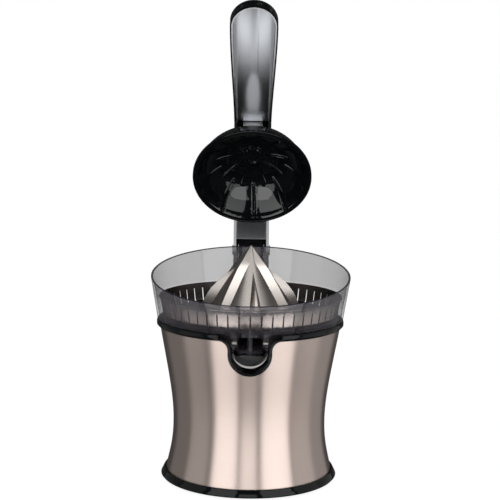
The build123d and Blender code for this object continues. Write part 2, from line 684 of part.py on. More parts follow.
def rib(bearing):
    """One low rib in a flute, widening downwards from a point, with a bulging crest."""
    sections = []
    for step in range(RIB_STEPS + 1):
        share = max(step / RIB_STEPS, 0.02)
        z = RIB_TOP_Z - (RIB_TOP_Z - CONE_Z) * share
        bulge = share * RIB_REACH
        crest = flute_radius(z) + RIB_H * 4 * bulge * (1 - bulge)
        foot = flute_radius(z) - RIB_SUNK
        outline = Polyline((foot, -RIB_HALF * share), (crest, -RIB_CREST_HALF * share),
                           (crest, RIB_CREST_HALF * share), (foot, RIB_HALF * share), close=True)
        sections.append(Pos(0, 0, z) * make_face(outline))
    return Rot(0, 0, bearing) * loft(sections, ruled=True)


def make_reamer():
    """Fluted steel cone: four tall ridges and four lower ribs between them."""
    cone = Pos(0, 0, (CONE_TOP_Z + CONE_Z) / 2) * Cone(FLUTE_R, FLUTE_TIP_R, CONE_TOP_Z - CONE_Z)
    cone += disc(CONE_R, CONE_Z, CONE_Z + FLANGE_T)
    for index in range(RIDGE_COUNT):
        cone += ridge(-90 + RIDGE_TURN + index * 360 / RIDGE_COUNT)
    for index in range(RIDGE_COUNT):
        cone += rib(-90 + RIDGE_TURN + (index + 0.5) * 360 / RIDGE_COUNT)
    cone += Pos(0, 0, CONE_TOP_Z - CONE_TIP_R) * Sphere(CONE_TIP_R)
    hollow = lathe([(0, CONE_Z - 1), (CONE_R - CONE_WALL, CONE_Z - 1), (CONE_R - CONE_WALL, CONE_Z + 0.1),
                    (HUB_R + 6, 181), (HUB_R + SLIP, 186), (HUB_R + SLIP, 187),
                    (HUB_R - 3.2, HUB_TOP_Z + SLIP), (0, HUB_TOP_Z + SLIP)])
    return cone - hollow


def make_reamer_hub():
    """Moulded insert inside the cone, with the spindle's hexagonal socket."""
    hub = lathe([(0, HUB_LOW_Z), (HUB_R, HUB_LOW_Z), (HUB_R, 187), (HUB_R - 3.2 - SLIP, HUB_TOP_Z),
                 (0, HUB_TOP_Z)])
    return hub - hexagon(DRIVE_AF + 2 * SLIP, HUB_LOW_Z - 1, SPINDLE_TOP_Z + 0.2)


# ================================================================ drive
def gear(module, teeth, low, height, tooth_bearing):
    """A straight spur gear with plain tapered teeth, at the origin."""
    pitch_r = module * teeth / 2
    root_r = pitch_r - 1.15 * module
    crest_r = pitch_r + 0.85 * module
    points = []
    for index in range(teeth):
        middle = tooth_bearing + index * 360 / teeth
        root_half = degrees(0.33 * pi * module / root_r)
        pitch_half = degrees(0.21 * pi * module / pitch_r)
        crest_half = degrees(0.10 * pi * module / crest_r)
        points.append(around(root_r, middle - root_half))
        points.append(around(pitch_r, middle - pitch_half))
        points.append(around(crest_r, middle - crest_half))
        points.append(around(crest_r, middle + crest_half))
        points.append(around(pitch_r, middle + pitch_half))
        points.append(around(root_r, middle + root_half))
    return Pos(0, 0, low) * extrude(make_face(Polyline(*points, close=True)), height)


OUTPUT_DISTANCE = GEAR_M * (OUTPUT_TEETH + IDLER_SMALL_TEETH) / 2
MOTOR_DISTANCE = PINION_M * (IDLER_LARGE_TEETH + MOTOR_TEETH) / 2
IDLER_X, IDLER_Y = around(OUTPUT_DISTANCE, IDLER_BEARING)
MOTOR_COS = (OUTPUT_DISTANCE ** 2 + MOTOR_R ** 2 - MOTOR_DISTANCE ** 2) / (2 * OUTPUT_DISTANCE * MOTOR_R)
MOTOR_BEARING = IDLER_BEARING + degrees(atan2((1 - MOTOR_COS ** 2) ** 0.5, MOTOR_COS))
MOTOR_X, MOTOR_Y = around(MOTOR_R, MOTOR_BEARING)
PAIR_BEARING = degrees(atan2(MOTOR_Y - IDLER_Y, MOTOR_X - IDLER_X))


def make_output_gear():
    """Large gear on a tube that the spindle slides through."""
    top = OUTPUT_GEAR_Z + OUTPUT_GEAR_H
    wheel = gear(GEAR_M, OUTPUT_TEETH, OUTPUT_GEAR_Z, OUTPUT_GEAR_H, IDLER_BEARING)
    wheel -= tube(GEAR_M * OUTPUT_TEETH / 2 - 6, HUB_JOURNAL_R + 4, OUTPUT_GEAR_Z + 6, top + 1)
    wheel += disc(HUB_JOURNAL_R, GEARBOX_Z + 0.5, DECK_Z + 1.0 - GAP)
    wheel += disc(HUB_JOURNAL_R + 2.5, top, BOSS_LOW_Z - GAP)
    wheel += disc(HUB_JOURNAL_R + 2.5, GEARBOX_Z + GEARBOX_T + 3.3, OUTPUT_GEAR_Z)
    return wheel - hexagon(SPLINE_AF + 2 * SLIP, GEARBOX_Z - 5, DECK_Z + 10)


def make_idler():
    """Double gear between the motor pinion and the output gear."""
    low = IDLER_GEAR_Z
    large = gear(PINION_M, IDLER_LARGE_TEETH, low, IDLER_GEAR_H, PAIR_BEARING)
    small_turn = IDLER_BEARING + 180 + 180 / IDLER_SMALL_TEETH
    small = gear(GEAR_M, IDLER_SMALL_TEETH, low + IDLER_GEAR_H, OUTPUT_GEAR_Z + OUTPUT_GEAR_H + 2
                 - low - IDLER_GEAR_H, small_turn)
    both = large + small
    both -= disc(AXLE_R + SLIP, 0, REACH)
    return Pos(IDLER_X, IDLER_Y, 0) * both


def make_idler_axle():
    """Fixed axle of the idler, between the gearbox plate and the deck."""
    return disc(AXLE_R, GEARBOX_Z + 0.5, DECK_Z - GAP, IDLER_X, IDLER_Y)


def make_rotor():
    """Motor shaft with its pinion."""
    turn = PAIR_BEARING + 180 + 180 / MOTOR_TEETH
    pinion = Pos(MOTOR_X, MOTOR_Y, 0) * gear(PINION_M, MOTOR_TEETH, IDLER_GEAR_Z - 0.5,
                                             IDLER_GEAR_H + 1, turn)
    low = GEARBOX_Z - MOTOR_CAN_H + 6
    shaft = disc(MOTOR_SHAFT_R, low, IDLER_GEAR_Z + IDLER_GEAR_H + 0.5, MOTOR_X, MOTOR_Y)
    return pinion + shaft


def make_motor():
    """Motor can with a nose that centres in the gearbox plate."""
    top = GEARBOX_Z
    can = disc(MOTOR_CAN_R, top - MOTOR_CAN_H, top, MOTOR_X, MOTOR_Y)
    can += disc(MOTOR_NOSE_R, top - 1, top + GEARBOX_T - 0.5, MOTOR_X, MOTOR_Y)
    can += disc(MOTOR_NOSE_R, top - MOTOR_CAN_H - 4, top - MOTOR_CAN_H, MOTOR_X, MOTOR_Y)
    for side in (-1, 1):
        can -= disc(SCREW_R, top - 8, top + 1, MOTOR_X, MOTOR_Y + side * MOTOR_SCREW_PITCH)
    return can - disc(MOTOR_SHAFT_R + SLIP, top - MOTOR_CAN_H + 5, top + 10, MOTOR_X, MOTOR_Y)


def make_gearbox_plate():
    """Steel plate hung under the deck, carrying motor, axle and gear journal."""
    plate = disc(GEARBOX_R, GEARBOX_Z, GEARBOX_Z + GEARBOX_T)
    plate -= disc(MOTOR_NOSE_R + SLIP, 0, REACH, MOTOR_X, MOTOR_Y)
    plate -= disc(AXLE_R + SLIP, 0, REACH, IDLER_X, IDLER_Y)
    plate -= disc(BUSH_R + SLIP, 0, REACH)
    for bearing in POST_BEARINGS:
        x, y = around(POST_PITCH_R, bearing)
        plate -= disc(SCREW_R + 0.2, 0, REACH, x, y)
    for side in (-1, 1):
        plate -= disc(SCREW_R + 0.2, 0, REACH, MOTOR_X, MOTOR_Y + side * MOTOR_SCREW_PITCH)
    return plate


def make_bush():
    """Flanged bronze bush for the output gear's lower journal."""
    body = disc(BUSH_R, GEARBOX_Z, GEARBOX_Z + GEARBOX_T)
    body += disc(BUSH_R + 2, GEARBOX_Z + GEARBOX_T, GEARBOX_Z + GEARBOX_T + 3)
    return body - disc(HUB_JOURNAL_R + SLIP, GEARBOX_Z - 1, GEARBOX_Z + 20)


def make_plate_screws():
    """Four screws up into the deck's posts."""
    screws = []
    for bearing in POST_BEARINGS:
        x, y = around(POST_PITCH_R, bearing)
        shank = disc(SCREW_R - SLIP, GEARBOX_Z - 0.5, GEARBOX_Z + GEARBOX_T + 10, x, y)
        screws.append(shank + disc(SCREW_HEAD_R, GEARBOX_Z - SCREW_HEAD_H, GEARBOX_Z, x, y))
    return screws


def make_motor_screws():
    """Two screws down through the plate into the motor."""
    screws = []
    for side in (-1, 1):
        y = MOTOR_Y + side * MOTOR_SCREW_PITCH
        top = GEARBOX_Z + GEARBOX_T
        shank = disc(SCREW_R - SLIP, GEARBOX_Z - 6, top, MOTOR_X, y)
        screws.append(shank + disc(SCREW_HEAD_R, top, top + SCREW_HEAD_H, MOTOR_X, y))
    return screws


def make_spindle():
    """Spindle: a hexagon that slides in the gear, a thrust collar and a drive end."""
    bar = hexagon(SPLINE_AF, SPINDLE_LOW_Z, SPLINE_TOP_Z)
    bar += disc(SPINDLE_R, SPLINE_TOP_Z, CHIMNEY_TOP_Z)
    bar += disc(THRUST_R, THRUST_Z, THRUST_Z + THRUST_T)
    return bar + hexagon(DRIVE_AF, CHIMNEY_TOP_Z, SPINDLE_TOP_Z)


def make_return_spring():
    """Spring that lifts the cone off the switch."""
    low = DECK_Z + 1.0
    room = THRUST_Z - low
    pitch = (room - SPRING_WIRE - 0.6) / SPRING_TURNS
    return Pos(0, 0, low + SPRING_WIRE / 2 + 0.3) * coil(SPRING_R, SPRING_WIRE, SPRING_TURNS, pitch)


def make_seal():
    """Lip seal in the top of the deck's upstand."""
    return tube(UPSTAND_BORE - SLIP, SPINDLE_R + 0.1, UPSTAND_TOP_Z - SEAL_T, UPSTAND_TOP_Z)


def make_switch():
    """Start switch below the spindle, hung from the gearbox plate."""
    top = SPINDLE_LOW_Z - PLUNGER_H + 2
    body = block(-SWITCH_X / 2, SWITCH_X / 2, -SWITCH_Y / 2, SWITCH_Y / 2, top - SWITCH_H, top)
    arm_y = SWITCH_Y / 2
    body += block(-SWITCH_X / 2, SWITCH_X / 2, arm_y, arm_y + 3, top - SWITCH_H, GEARBOX_Z)
    return body - disc(PLUNGER_R + SLIP, top - 10, top + 1)


def make_plunger():
    """Push rod of the switch, under the spindle's end."""
    top = SPINDLE_LOW_Z - SLIP
    return disc(PLUNGER_R, top - PLUNGER_H, top)


# ================================================================ lever
def lever_side(low, high):
    """Side view of the lever between two heights above its underside."""
    bend = radians(BEND_ANGLE)
    way = (cos(bend), -sin(bend))
    out = (sin(bend), cos(bend))
    foot_y = HINGE_Y - HINGE_R * out[0]
    foot_z = HINGE_Z - HINGE_R * out[1]
    arc_z = LEVER_Z - BEND_R * (1 - cos(bend))
    run = (arc_z - foot_z) / sin(bend)
    arc_y = foot_y - run * cos(bend)
    bend_y = arc_y - BEND_R * sin(bend)

    def corner(height):
        start = (LEVER_TIP_Y - 5, LEVER_Z + height)
        first = (bend_y, LEVER_Z + height)
        centre = (bend_y, LEVER_Z - BEND_R)
        radius = BEND_R + height
        middle = (centre[0] + radius * sin(bend / 2), centre[1] + radius * cos(bend / 2))
        last = (centre[0] + radius * out[0], centre[1] + radius * out[1])
        end = (last[0] + run * way[0], last[1] + run * way[1])
        return start, first, middle, last, end

    a = corner(low)
    b = corner(high)
    outline = [
        Line(a[0], a[1]), ThreePointArc(a[1], a[2], a[3]), Line(a[3], a[4]), Line(a[4], b[4]),
        Line(b[4], b[3]), ThreePointArc(b[3], b[2], b[1]), Line(b[1], b[0]), Line(b[0], a[0]),
    ]
    return extrude(Plane.YZ * make_face(outline), GRIP_HALF + 5, both=True)


def lever_plan(inset):
    """Plan view of the lever as a tall prism, drawn in by an inset."""
    wide = GRIP_HALF - inset
    narrow = LEVER_HALF - inset
    centre_y = LEVER_TIP_Y + GRIP_HALF
    back_y = HINGE_Y + 30
    outline = [
        ThreePointArc((-wide, centre_y), (0, centre_y - wide), (wide, centre_y)),
        Bezier((wide, centre_y), (wide, centre_y + 40), (narrow, GRIP_START_Y - 38), (narrow, GRIP_START_Y)),
        Polyline((narrow, GRIP_START_Y), (narrow, back_y), (-narrow, back_y), (-narrow, GRIP_START_Y)),
        Bezier((-narrow, GRIP_START_Y), (-narrow, GRIP_START_Y - 38), (-wide, centre_y + 40), (-wide, centre_y)),
    ]
    return Pos(0, 0, HINGE_Z - 40) * extrude(make_face(outline), 120)


def hinge_room():
    """Space that the tower's barrel needs between the lever's cheeks."""
    return rod_x(HINGE_R + 1.5, -BARREL_HALF - GAP, BARREL_HALF + GAP, HINGE_Y, HINGE_Z)


def pin_bore():
    """Bore of the hinge pin."""
    return rod_x(PIN_R + SLIP, -REACH, REACH, HINGE_Y, HINGE_Z)


def make_shell():
    """Black outer half of the lever, with the two hinge cheeks."""
    shell = lever_side(TRIM_H, LEVER_T) & lever_plan(0.0)
    top = shell.faces().filter_by(Axis.Z).sort_by(Axis.Z)[-1]
    shell = fillet(top.edges().filter_by(lambda edge: edge.center().Y < GRIP_START_Y), SHELL_ROUND)
    for side in (-1, 1):
        x0, x1 = sorted((side * (BARREL_HALF + GAP), side * LEVER_HALF))
        shell += rod_x(HINGE_R, x0, x1, HINGE_Y, HINGE_Z) - lever_side(-5, TRIM_H) - trim_tail()
    return shell - hinge_room() - pin_bore()


def make_trim():
    """Bright band round the lever's underside, with strips down to the cheeks."""
    band = lever_side(0.0, TRIM_H) & lever_plan(0.0)
    band -= lever_plan(TRIM_W)
    ends = rod_x(HINGE_R, -LEVER_HALF, LEVER_HALF, HINGE_Y, HINGE_Z)
    band += (ends & trim_tail()) - lever_plan(TRIM_W)
    return band - hinge_room() - pin_bore()


def trim_tail():
    """The band's layer, carried on past the hinge to the round of the cheeks."""
    length = HINGE_R * 2
    off = HINGE_R - TRIM_H / 2
    bend = radians(BEND_ANGLE)
    centre_y = HINGE_Y - off * sin(bend) + length / 2 * cos(bend)
    centre_z = HINGE_Z - off * cos(bend) - length / 2 * sin(bend)
    return Pos(0, centre_y, centre_z) * Rot(-BEND_ANGLE, 0, 0) * Box(60, length, TRIM_H)


def make_grip_panel():
    """Satin panel set in the band, from the grip's end to the dome carrier."""
    panel = lever_side(TRIM_H - PANEL_H, TRIM_H) & lever_plan(TRIM_W + PANEL_FRONT_GAP)
    return panel & block(-REACH, REACH, -REACH, PANEL_END_Y, 0, LEVER_Z + REACH)


def make_stem_panel():
    """Satin panel set in the band, from the dome carrier to the hinge."""
    panel = lever_side(TRIM_H - PANEL_H, TRIM_H) & lever_plan(TRIM_W + PANEL_FRONT_GAP)
    panel &= block(-REACH, REACH, CARRIER_BACK_Y + GAP, REACH, 0, LEVER_Z + REACH)
    return panel - rod_x(HINGE_R + 4.0, -REACH, REACH, HINGE_Y, HINGE_Z)


def make_caps():
    """Two bright caps over the ends of the hinge pin."""
    caps = []
    for side in (-1, 1):
        x0, x1 = sorted((side * LEVER_HALF, side * (LEVER_HALF + CAP_T)))
        caps.append(rod_x(CAP_R, x0, x1, HINGE_Y, HINGE_Z))
    return caps


def make_carrier():
    """Bright bracket under the lever that holds the dome's pin."""
    top = LEVER_Z + TRIM_H
    seat = LEVER_Z + TRIM_H - PANEL_H
    body = block(-CARRIER_HALF, CARRIER_HALF, CARRIER_FRONT_Y, CARRIER_BACK_Y, CARRIER_LOW_Z, seat - 4)
    body = chamfer(body.edges().filter_by(Axis.X).group_by(Axis.Y)[0], 1.6)
    body += block(-STEP_HALF, STEP_HALF, STEP_FRONT_Y + 3, CARRIER_BACK_Y, seat - 5, top)
    room = LUG_R + 1.0
    body -= block(-LUG_HALF - GAP, LUG_HALF + GAP, -room - 3, room + 3, CARRIER_LOW_Z - 1,
                  DOME_PIVOT_Z + LUG_R + 0.4)
    return body - rod_x(DOME_PIN_R + SLIP, -REACH, REACH, 0, DOME_PIVOT_Z)


def make_dome_pin():
    """Cross pin that the dome rocks on."""
    return rod_x(DOME_PIN_R, -CARRIER_HALF, CARRIER_HALF, 0, DOME_PIVOT_Z)


# ================================================================ press dome
def dome_plug(inset, lower=0.0):
    """The dome's bell as a solid plug, drawn in by an inset."""
    rim = DOME_RIM_Z - lower
    top = DOME_RIM_Z + DOME_DEPTH - inset
    side = Spline((DOME_R - 2.2 - inset, DOME_RIM_Z + 2.0), (46.5 - inset, DOME_RIM_Z + 23.5 - 0.3 * inset),
                  (30.0 - inset * 0.6, DOME_RIM_Z + 34.0 - inset * 0.8), (0, top),
                  tangents=((-0.35, 1.0), (-1.0, 0.0)))
    base = Polyline((0, top), (0, rim), (DOME_R - 2.2 - inset, rim), (DOME_R - 2.2 - inset, DOME_RIM_Z + 2.0))
    return turned([side, base])


def dome_ribs(inner_r, outer_r, turn):
    """Plates of a ring of ribs, before they are cut to the bell."""
    ribs = []
    for index in range(DOME_RIB_COUNT):
        plate = block(inner_r, outer_r, -DOME_RIB_T / 2, DOME_RIB_T / 2, DOME_RIM_Z + 1.5,
                      DOME_RIM_Z + DOME_DEPTH)
        ribs.append(Rot(0, 0, turn + index * 360 / DOME_RIB_COUNT) * plate)
    return ribs


def make_dome():
    """Black press dome: bell, rolled rim, two rings of ribs, boss and pivot lug."""
    room = dome_plug(DOME_T, lower=2.0)
    bell = dome_plug(0.0) - room
    bell += tube(DOME_R, DOME_R - 2.2 - DOME_T + 0.01, DOME_RIM_Z, DOME_RIM_Z + 2.4)
    step = 180 / DOME_RIB_COUNT
    core = dome_plug(DOME_T + DOME_RIB_H, lower=5.0)
    band = dome_plug(DOME_T - 0.4) - core
    plates = dome_ribs(OUTER_RIB_START, OUTER_RIB_END, DOME_RIB_TURN)
    plates += dome_ribs(INNER_RIB_START, INNER_RIB_END, DOME_RIB_TURN + step)
    for plate in plates:
        bell += plate & band
    under = DOME_RIM_Z + DOME_DEPTH - DOME_T
    bell += disc(DOME_BOSS_R, under - DOME_BOSS_H, under + 1)
    bell -= disc(DOME_BOSS_R - 4.5, under - DOME_BOSS_H - 2, under - 0.6)
    lug = block(-LUG_HALF, LUG_HALF, -LUG_R, LUG_R, under + 1, DOME_PIVOT_Z)
    lug += rod_x(LUG_R, -LUG_HALF, LUG_HALF, 0, DOME_PIVOT_Z)
    return bell + lug - rod_x(DOME_PIN_R + SLIP, -REACH, REACH, 0, DOME_PIVOT_Z)


def raised(shape):
    """Turn a piece of the level lever up to the pose it rests in."""
    return shape.rotate(Axis((0, HINGE_Y, HINGE_Z), (1, 0, 0)), -OPEN_TURN)


# ================================================================ write it all
save("base_ring", make_base_ring())
save("bottom_plate", make_bottom_plate())
save("rubber_feet", *make_feet())
save("base_screws", *make_base_screws())
save("steel_sleeve", make_sleeve())
save("top_deck", make_deck())
save("cord_gland", make_gland())
save("hinge_tower", make_tower())
save("tower_screws", *make_tower_screws())
save("hinge_pin", make_hinge_pin())
save("hinge_spring", make_torsion_spring())

save("juice_bowl", make_bowl())
save("drip_spout", make_spout())
save("spout_pins", *make_spout_pins())
save("strainer", make_strainer())
save("reamer", make_reamer())
save("reamer_hub", make_reamer_hub())

save("gearbox_plate", make_gearbox_plate())
save("journal_bush", make_bush())
save("plate_screws", *make_plate_screws())
save("motor", make_motor())
save("motor_screws", *make_motor_screws())
save("motor_rotor", make_rotor())
save("idler_axle", make_idler_axle())
save("idler_gear", make_idler())
save("output_gear", make_output_gear())
save("drive_spindle", make_spindle())
save("return_spring", make_return_spring())
save("spindle_seal", make_seal())
save("start_switch", make_switch())
save("switch_plunger", make_plunger())

save("lever_shell", raised(make_shell()))
save("lever_trim", raised(make_trim()))
save("grip_panel", raised(make_grip_panel()))
save("stem_panel", raised(make_stem_panel()))
save("hinge_caps", *make_caps())
save("dome_carrier", raised(make_carrier()))
save("dome_pin", raised(make_dome_pin()))
save("press_dome", raised(make_dome()))
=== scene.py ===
import json
import logging
import math
from dataclasses import dataclass, field
from enum import Enum
from typing import Optional

import bpy
from mathutils import Matrix, Vector


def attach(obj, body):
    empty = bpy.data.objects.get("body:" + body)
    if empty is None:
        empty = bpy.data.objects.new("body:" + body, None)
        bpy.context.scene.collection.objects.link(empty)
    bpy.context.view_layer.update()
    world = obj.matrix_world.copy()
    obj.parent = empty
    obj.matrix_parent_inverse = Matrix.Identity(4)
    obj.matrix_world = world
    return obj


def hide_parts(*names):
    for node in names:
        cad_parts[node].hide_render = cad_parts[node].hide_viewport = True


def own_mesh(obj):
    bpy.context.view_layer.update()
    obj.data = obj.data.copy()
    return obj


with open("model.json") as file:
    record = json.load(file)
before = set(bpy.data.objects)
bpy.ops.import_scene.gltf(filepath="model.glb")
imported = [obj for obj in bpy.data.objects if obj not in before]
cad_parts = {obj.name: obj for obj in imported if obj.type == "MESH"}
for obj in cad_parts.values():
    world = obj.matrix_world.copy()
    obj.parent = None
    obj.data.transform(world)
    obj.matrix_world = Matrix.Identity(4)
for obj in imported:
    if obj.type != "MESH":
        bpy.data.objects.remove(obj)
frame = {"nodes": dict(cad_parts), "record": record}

LOG = logging.getLogger("citrus_press")
MM = 0.001
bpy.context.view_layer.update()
# the lever's hinge in millimetres, and how far it stands open in the pose it rests in
HINGE_Y, HINGE_Z, OPEN_TURN = 112.0, 204.5, 55.1
# points of a mesh that lie closer than this are one, in metres
MERGE = 0.000002
# length of the handle that draws a quarter circle, as a share of its radius
QUARTER_PULL = 0.5523

Piece = bpy.types.Object
Point = tuple[float, float]
Spot = tuple[float, float, float]
# corner of a curve, the handle behind it and the handle before it
Knot = tuple[Vector, Vector, Vector]


# ---------------------------------------------------------------- small tools
def linear(hex_colour: str) -> tuple[float, float, float, float]:
    """Turn an sRGB hex colour into the linear colour that shaders take.

    Args:
        hex_colour: Colour such as "#B5A79F".

    Returns:
        Linear red, green, blue and an alpha of one.
    """
    text = hex_colour.lstrip("#")
    levels = [int(text[start:start + 2], 16) / 255 for start in (0, 2, 4)]
    red, green, blue = (v / 12.92 if v <= 0.04045 else ((v + 0.055) / 1.055) ** 2.4 for v in levels)
    return red, green, blue, 1.0


def add_node(tree: bpy.types.NodeTree, kind: str, settings: Optional[dict] = None,
             links: Optional[dict] = None) -> bpy.types.Node:
    """Add a shader node with its settings and its incoming links.

    Args:
        tree: Node tree that takes the node.
        kind: Blender's name of the node type.
        settings: Values of input sockets, by name or index, and of node attributes.
        links: Output sockets of other nodes, by the name or index of the input they go to.

    Returns:
        The new node.
    """
    node = tree.nodes.new(kind)
    for key, value in (settings or {}).items():
        if isinstance(key, int) or key in node.inputs:
            node.inputs[key].default_value = value
        else:
            setattr(node, key, value)
    for key, socket in (links or {}).items():
        tree.links.new(socket, node.inputs[key])
    return node


def deselect_all() -> None:
    """Leave nothing selected, because an operator acts on all that is."""
    if bpy.context.object and bpy.context.object.mode != "OBJECT":
        bpy.ops.object.mode_set(mode="OBJECT")
    bpy.ops.object.select_all(action="DESELECT")


def take(piece: Piece) -> Piece:
    """Make one object the only selected and the active one.

    Args:
        piece: The object.

    Returns:
        The same object.
    """
    deselect_all()
    piece.select_set(True)
    bpy.context.view_layer.objects.active = piece
    return piece


def edit_all(piece: Piece) -> None:
    """Open a piece in edit mode with its whole mesh selected.

    Args:
        piece: The piece.
    """
    take(piece)
    bpy.ops.object.mode_set(mode="EDIT")
    bpy.ops.mesh.select_all(action="SELECT")


def apply_modifier(piece: Piece, kind: str, settings: dict) -> None:
    """Add a modifier to a piece and apply it at once.

    Args:
        piece: Object that is changed.
        kind: Blender's name of the modifier type.
        settings: Values of the modifier's attributes.
    """
    take(piece)
    modifier = piece.modifiers.new(kind.lower(), kind)
    for key, value in settings.items():
        setattr(modifier, key, value)
    bpy.ops.object.modifier_apply(modifier=modifier.name)


def ease_edges(piece: Piece, width: float, segments: int, sharp: float) -> None:
    """Bevel the edges of a piece that are sharper than an angle.

    Args:
        piece: Object that is changed.
        width: Width of the bevel in millimetres.
        segments: Number of faces across it.
        sharp: The angle in degrees.
    """
    apply_modifier(piece, "BEVEL", {"width": width * MM, "segments": segments, "limit_method": "ANGLE",
                                    "angle_limit": math.radians(sharp)})


def smooth(piece: Piece, angle: float = 32.0) -> Piece:
    """Shade a piece smooth apart from its sharp edges.

    Args:
        piece: The piece.
        angle: Sharpest edge in degrees that is still shaded smooth.

    Returns:
        The same piece.
    """
    take(piece)
    bpy.ops.object.shade_smooth_by_angle(angle=math.radians(angle))
    return piece


def settle(piece: Piece) -> Piece:
    """Put a piece's place and turn into its mesh, so that its object sits at the origin.

    Args:
        piece: The piece.

    Returns:
        The same piece.
    """
    take(piece)
    bpy.ops.object.transform_apply(location=True, rotation=True, scale=True)
    return piece


def close_mesh() -> None:
    """Merge the doubles of the open mesh, point its faces outwards and leave edit mode."""
    bpy.ops.mesh.select_all(action="SELECT")
    bpy.ops.mesh.remove_doubles(threshold=MERGE)
    bpy.ops.mesh.normals_make_consistent(inside=False)
    bpy.ops.object.mode_set(mode="OBJECT")


def knot(corner: Point, behind: Point, before: Point) -> Knot:
    """Corner of a flat curve with the handles behind and before it, in millimetres."""
    return Vector((*corner, 0.0)), Vector((*behind, 0.0)), Vector((*before, 0.0))


def mirrored(knots: list[Knot]) -> list[Knot]:
    """Mirror the knots on the right to the left, and run them the other way."""
    flip = Vector((-1.0, 1.0, 1.0))
    return [(corner * flip, before * flip, behind * flip) for corner, behind, before in reversed(knots)]


# ---------------------------------------------------------------- modelling
def turned(name: str, outline: list[Point], centre: Point = (0.0, 0.0), sides: int = 192) -> Piece:
    """Turn a closed outline about an upright axis, one ring after another.

    Args:
        name: Name of the new piece.
        outline: Corners as (radius, height) in millimetres, none of them on the axis.
        centre: Place of the axis in millimetres.
        sides: Number of corners of each ring.

    Returns:
        The new piece.
    """
    deselect_all()
    x, y = centre[0] * MM, centre[1] * MM
    radius, height = outline[0]
    bpy.ops.mesh.primitive_circle_add(vertices=sides, radius=radius * MM, location=(x, y, height * MM))
    piece = bpy.context.object
    piece.name = name
    settle(piece)
    edit_all(piece)
    for next_radius, next_height in outline[1:] + outline[:1]:
        bpy.ops.mesh.extrude_edges_move(
            TRANSFORM_OT_translate={"value": (0.0, 0.0, (next_height - height) * MM)})
        factor = next_radius / radius
        bpy.ops.transform.resize(value=(factor, factor, 1.0), center_override=(x, y, next_height * MM))
        radius, height = next_radius, next_height
    close_mesh()
    return piece


def prism(name: str, corners: list[Knot], low: float, high: float) -> Piece:
    """Model an upright prism on a closed outline of Bezier curves.

    Args:
        name: Name of the new piece.
        corners: Knots of the outline in millimetres, one way round.
        low: Height of the foot in millimetres.
        high: Height of the top in millimetres.

    Returns:
        The new piece.
    """
    deselect_all()
    bpy.ops.curve.primitive_bezier_circle_add(radius=1.0)
    curve = bpy.context.object
    curve.name = name
    points = curve.data.splines[0].bezier_points
    points.add(len(corners) - len(points))
    for point, (corner, behind, before) in zip(points, corners):
        point.handle_left_type = point.handle_right_type = "FREE"
        point.co, point.handle_left, point.handle_right = corner * MM, behind * MM, before * MM
    curve.data.dimensions = "2D"
    curve.data.fill_mode = "BOTH"
    curve.data.resolution_u = 24
    curve.data.extrude = (high - low) / 2 * MM
    curve.location.z = (low + high) / 2 * MM
    bpy.ops.object.convert(target="MESH")
    piece = settle(bpy.context.object)
    edit_all(piece)
    close_mesh()
    return piece


def tipped(piece: Piece, degrees: float, centre: Spot = (0.0, 0.0, 0.0)) -> Piece:
    """Turn a piece's mesh about a line along X.

    Args:
        piece: The piece.
        degrees: How far it turns.
        centre: A point of the line in metres.

    Returns:
        The same piece.
    """
    edit_all(piece)
    bpy.ops.transform.rotate(value=math.radians(degrees), orient_axis="X", center_override=centre)
    bpy.ops.object.mode_set(mode="OBJECT")
    return piece


def stood_up(piece: Piece) -> Piece:
    """Tip a prism forwards, so that its outline is seen from the front."""
    return tipped(piece, -90.0)


def raise_up(piece: Piece) -> Piece:
    """Turn a piece of the level lever up about the hinge to the pose it rests in."""
    return tipped(piece, OPEN_TURN, (0.0, HINGE_Y * MM, HINGE_Z * MM))


def rounded_block(name: str, low: Spot, high: Spot,
                  edge: float) -> Piece:
    """Model a block between two corners, with its edges rounded.

    Args:
        name: Name of the new piece.
        low: Lowest corner in millimetres.
        high: Highest corner in millimetres.
        edge: Radius of the edges in millimetres.

    Returns:
        The new piece.
    """
    deselect_all()
    middle = [(a + b) / 2 * MM for a, b in zip(low, high)]
    bpy.ops.mesh.primitive_cube_add(size=1.0, location=middle)
    piece = bpy.context.object
    piece.name = name
    piece.scale = [(b - a) * MM for a, b in zip(low, high)]
    settle(piece)
    edit_all(piece)
    bpy.ops.mesh.bevel(offset=edge * MM, segments=3, affect="EDGES")
    bpy.ops.object.mode_set(mode="OBJECT")
    return piece


def combine(piece: Piece, other: Piece, way: str) -> None:
    """Join, cut or meet a piece with another, which is used up.

    Args:
        piece: Piece that is changed.
        other: Piece that is joined to it or cut from it.
        way: "UNION", "DIFFERENCE" or "INTERSECT".
    """
    apply_modifier(piece, "BOOLEAN", {"object": other, "operation": way, "solver": "EXACT"})
    bpy.data.objects.remove(other, do_unlink=True)


def copied(node: str, angle: float = 32.0, edge: float = 0.0) -> Piece:
    """Copy a node's solid, merge its loose triangles, ease its edges and shade it smooth.

    Args:
        node: Name of the node.
        angle: Sharpest edge in degrees that is still shaded smooth.
        edge: Width in millimetres of the bevel on its sharp edges, or 0 for none.

    Returns:
        The new piece, with its own mesh.
    """
    mesh = frame["nodes"][node].data.copy()
    mesh.materials.clear()
    piece = bpy.data.objects.new(f"{node}_body", mesh)
    bpy.context.scene.collection.objects.link(piece)
    edit_all(piece)
    bpy.ops.mesh.remove_doubles(threshold=MERGE)
    if edge:
        # flat faces come as many triangles, whose seams a bevel would trip over
        bpy.ops.mesh.dissolve_limited(angle_limit=math.radians(0.6))
    bpy.ops.object.mode_set(mode="OBJECT")
    if edge:
        ease_edges(piece, edge, 2, 40.0)
    smooth(piece, angle)
    # large faces set the shading of their edges, so that they look flat
    apply_modifier(piece, "WEIGHTED_NORMAL", {"mode": "FACE_AREA", "weight": 50, "keep_sharp": True})
    return piece


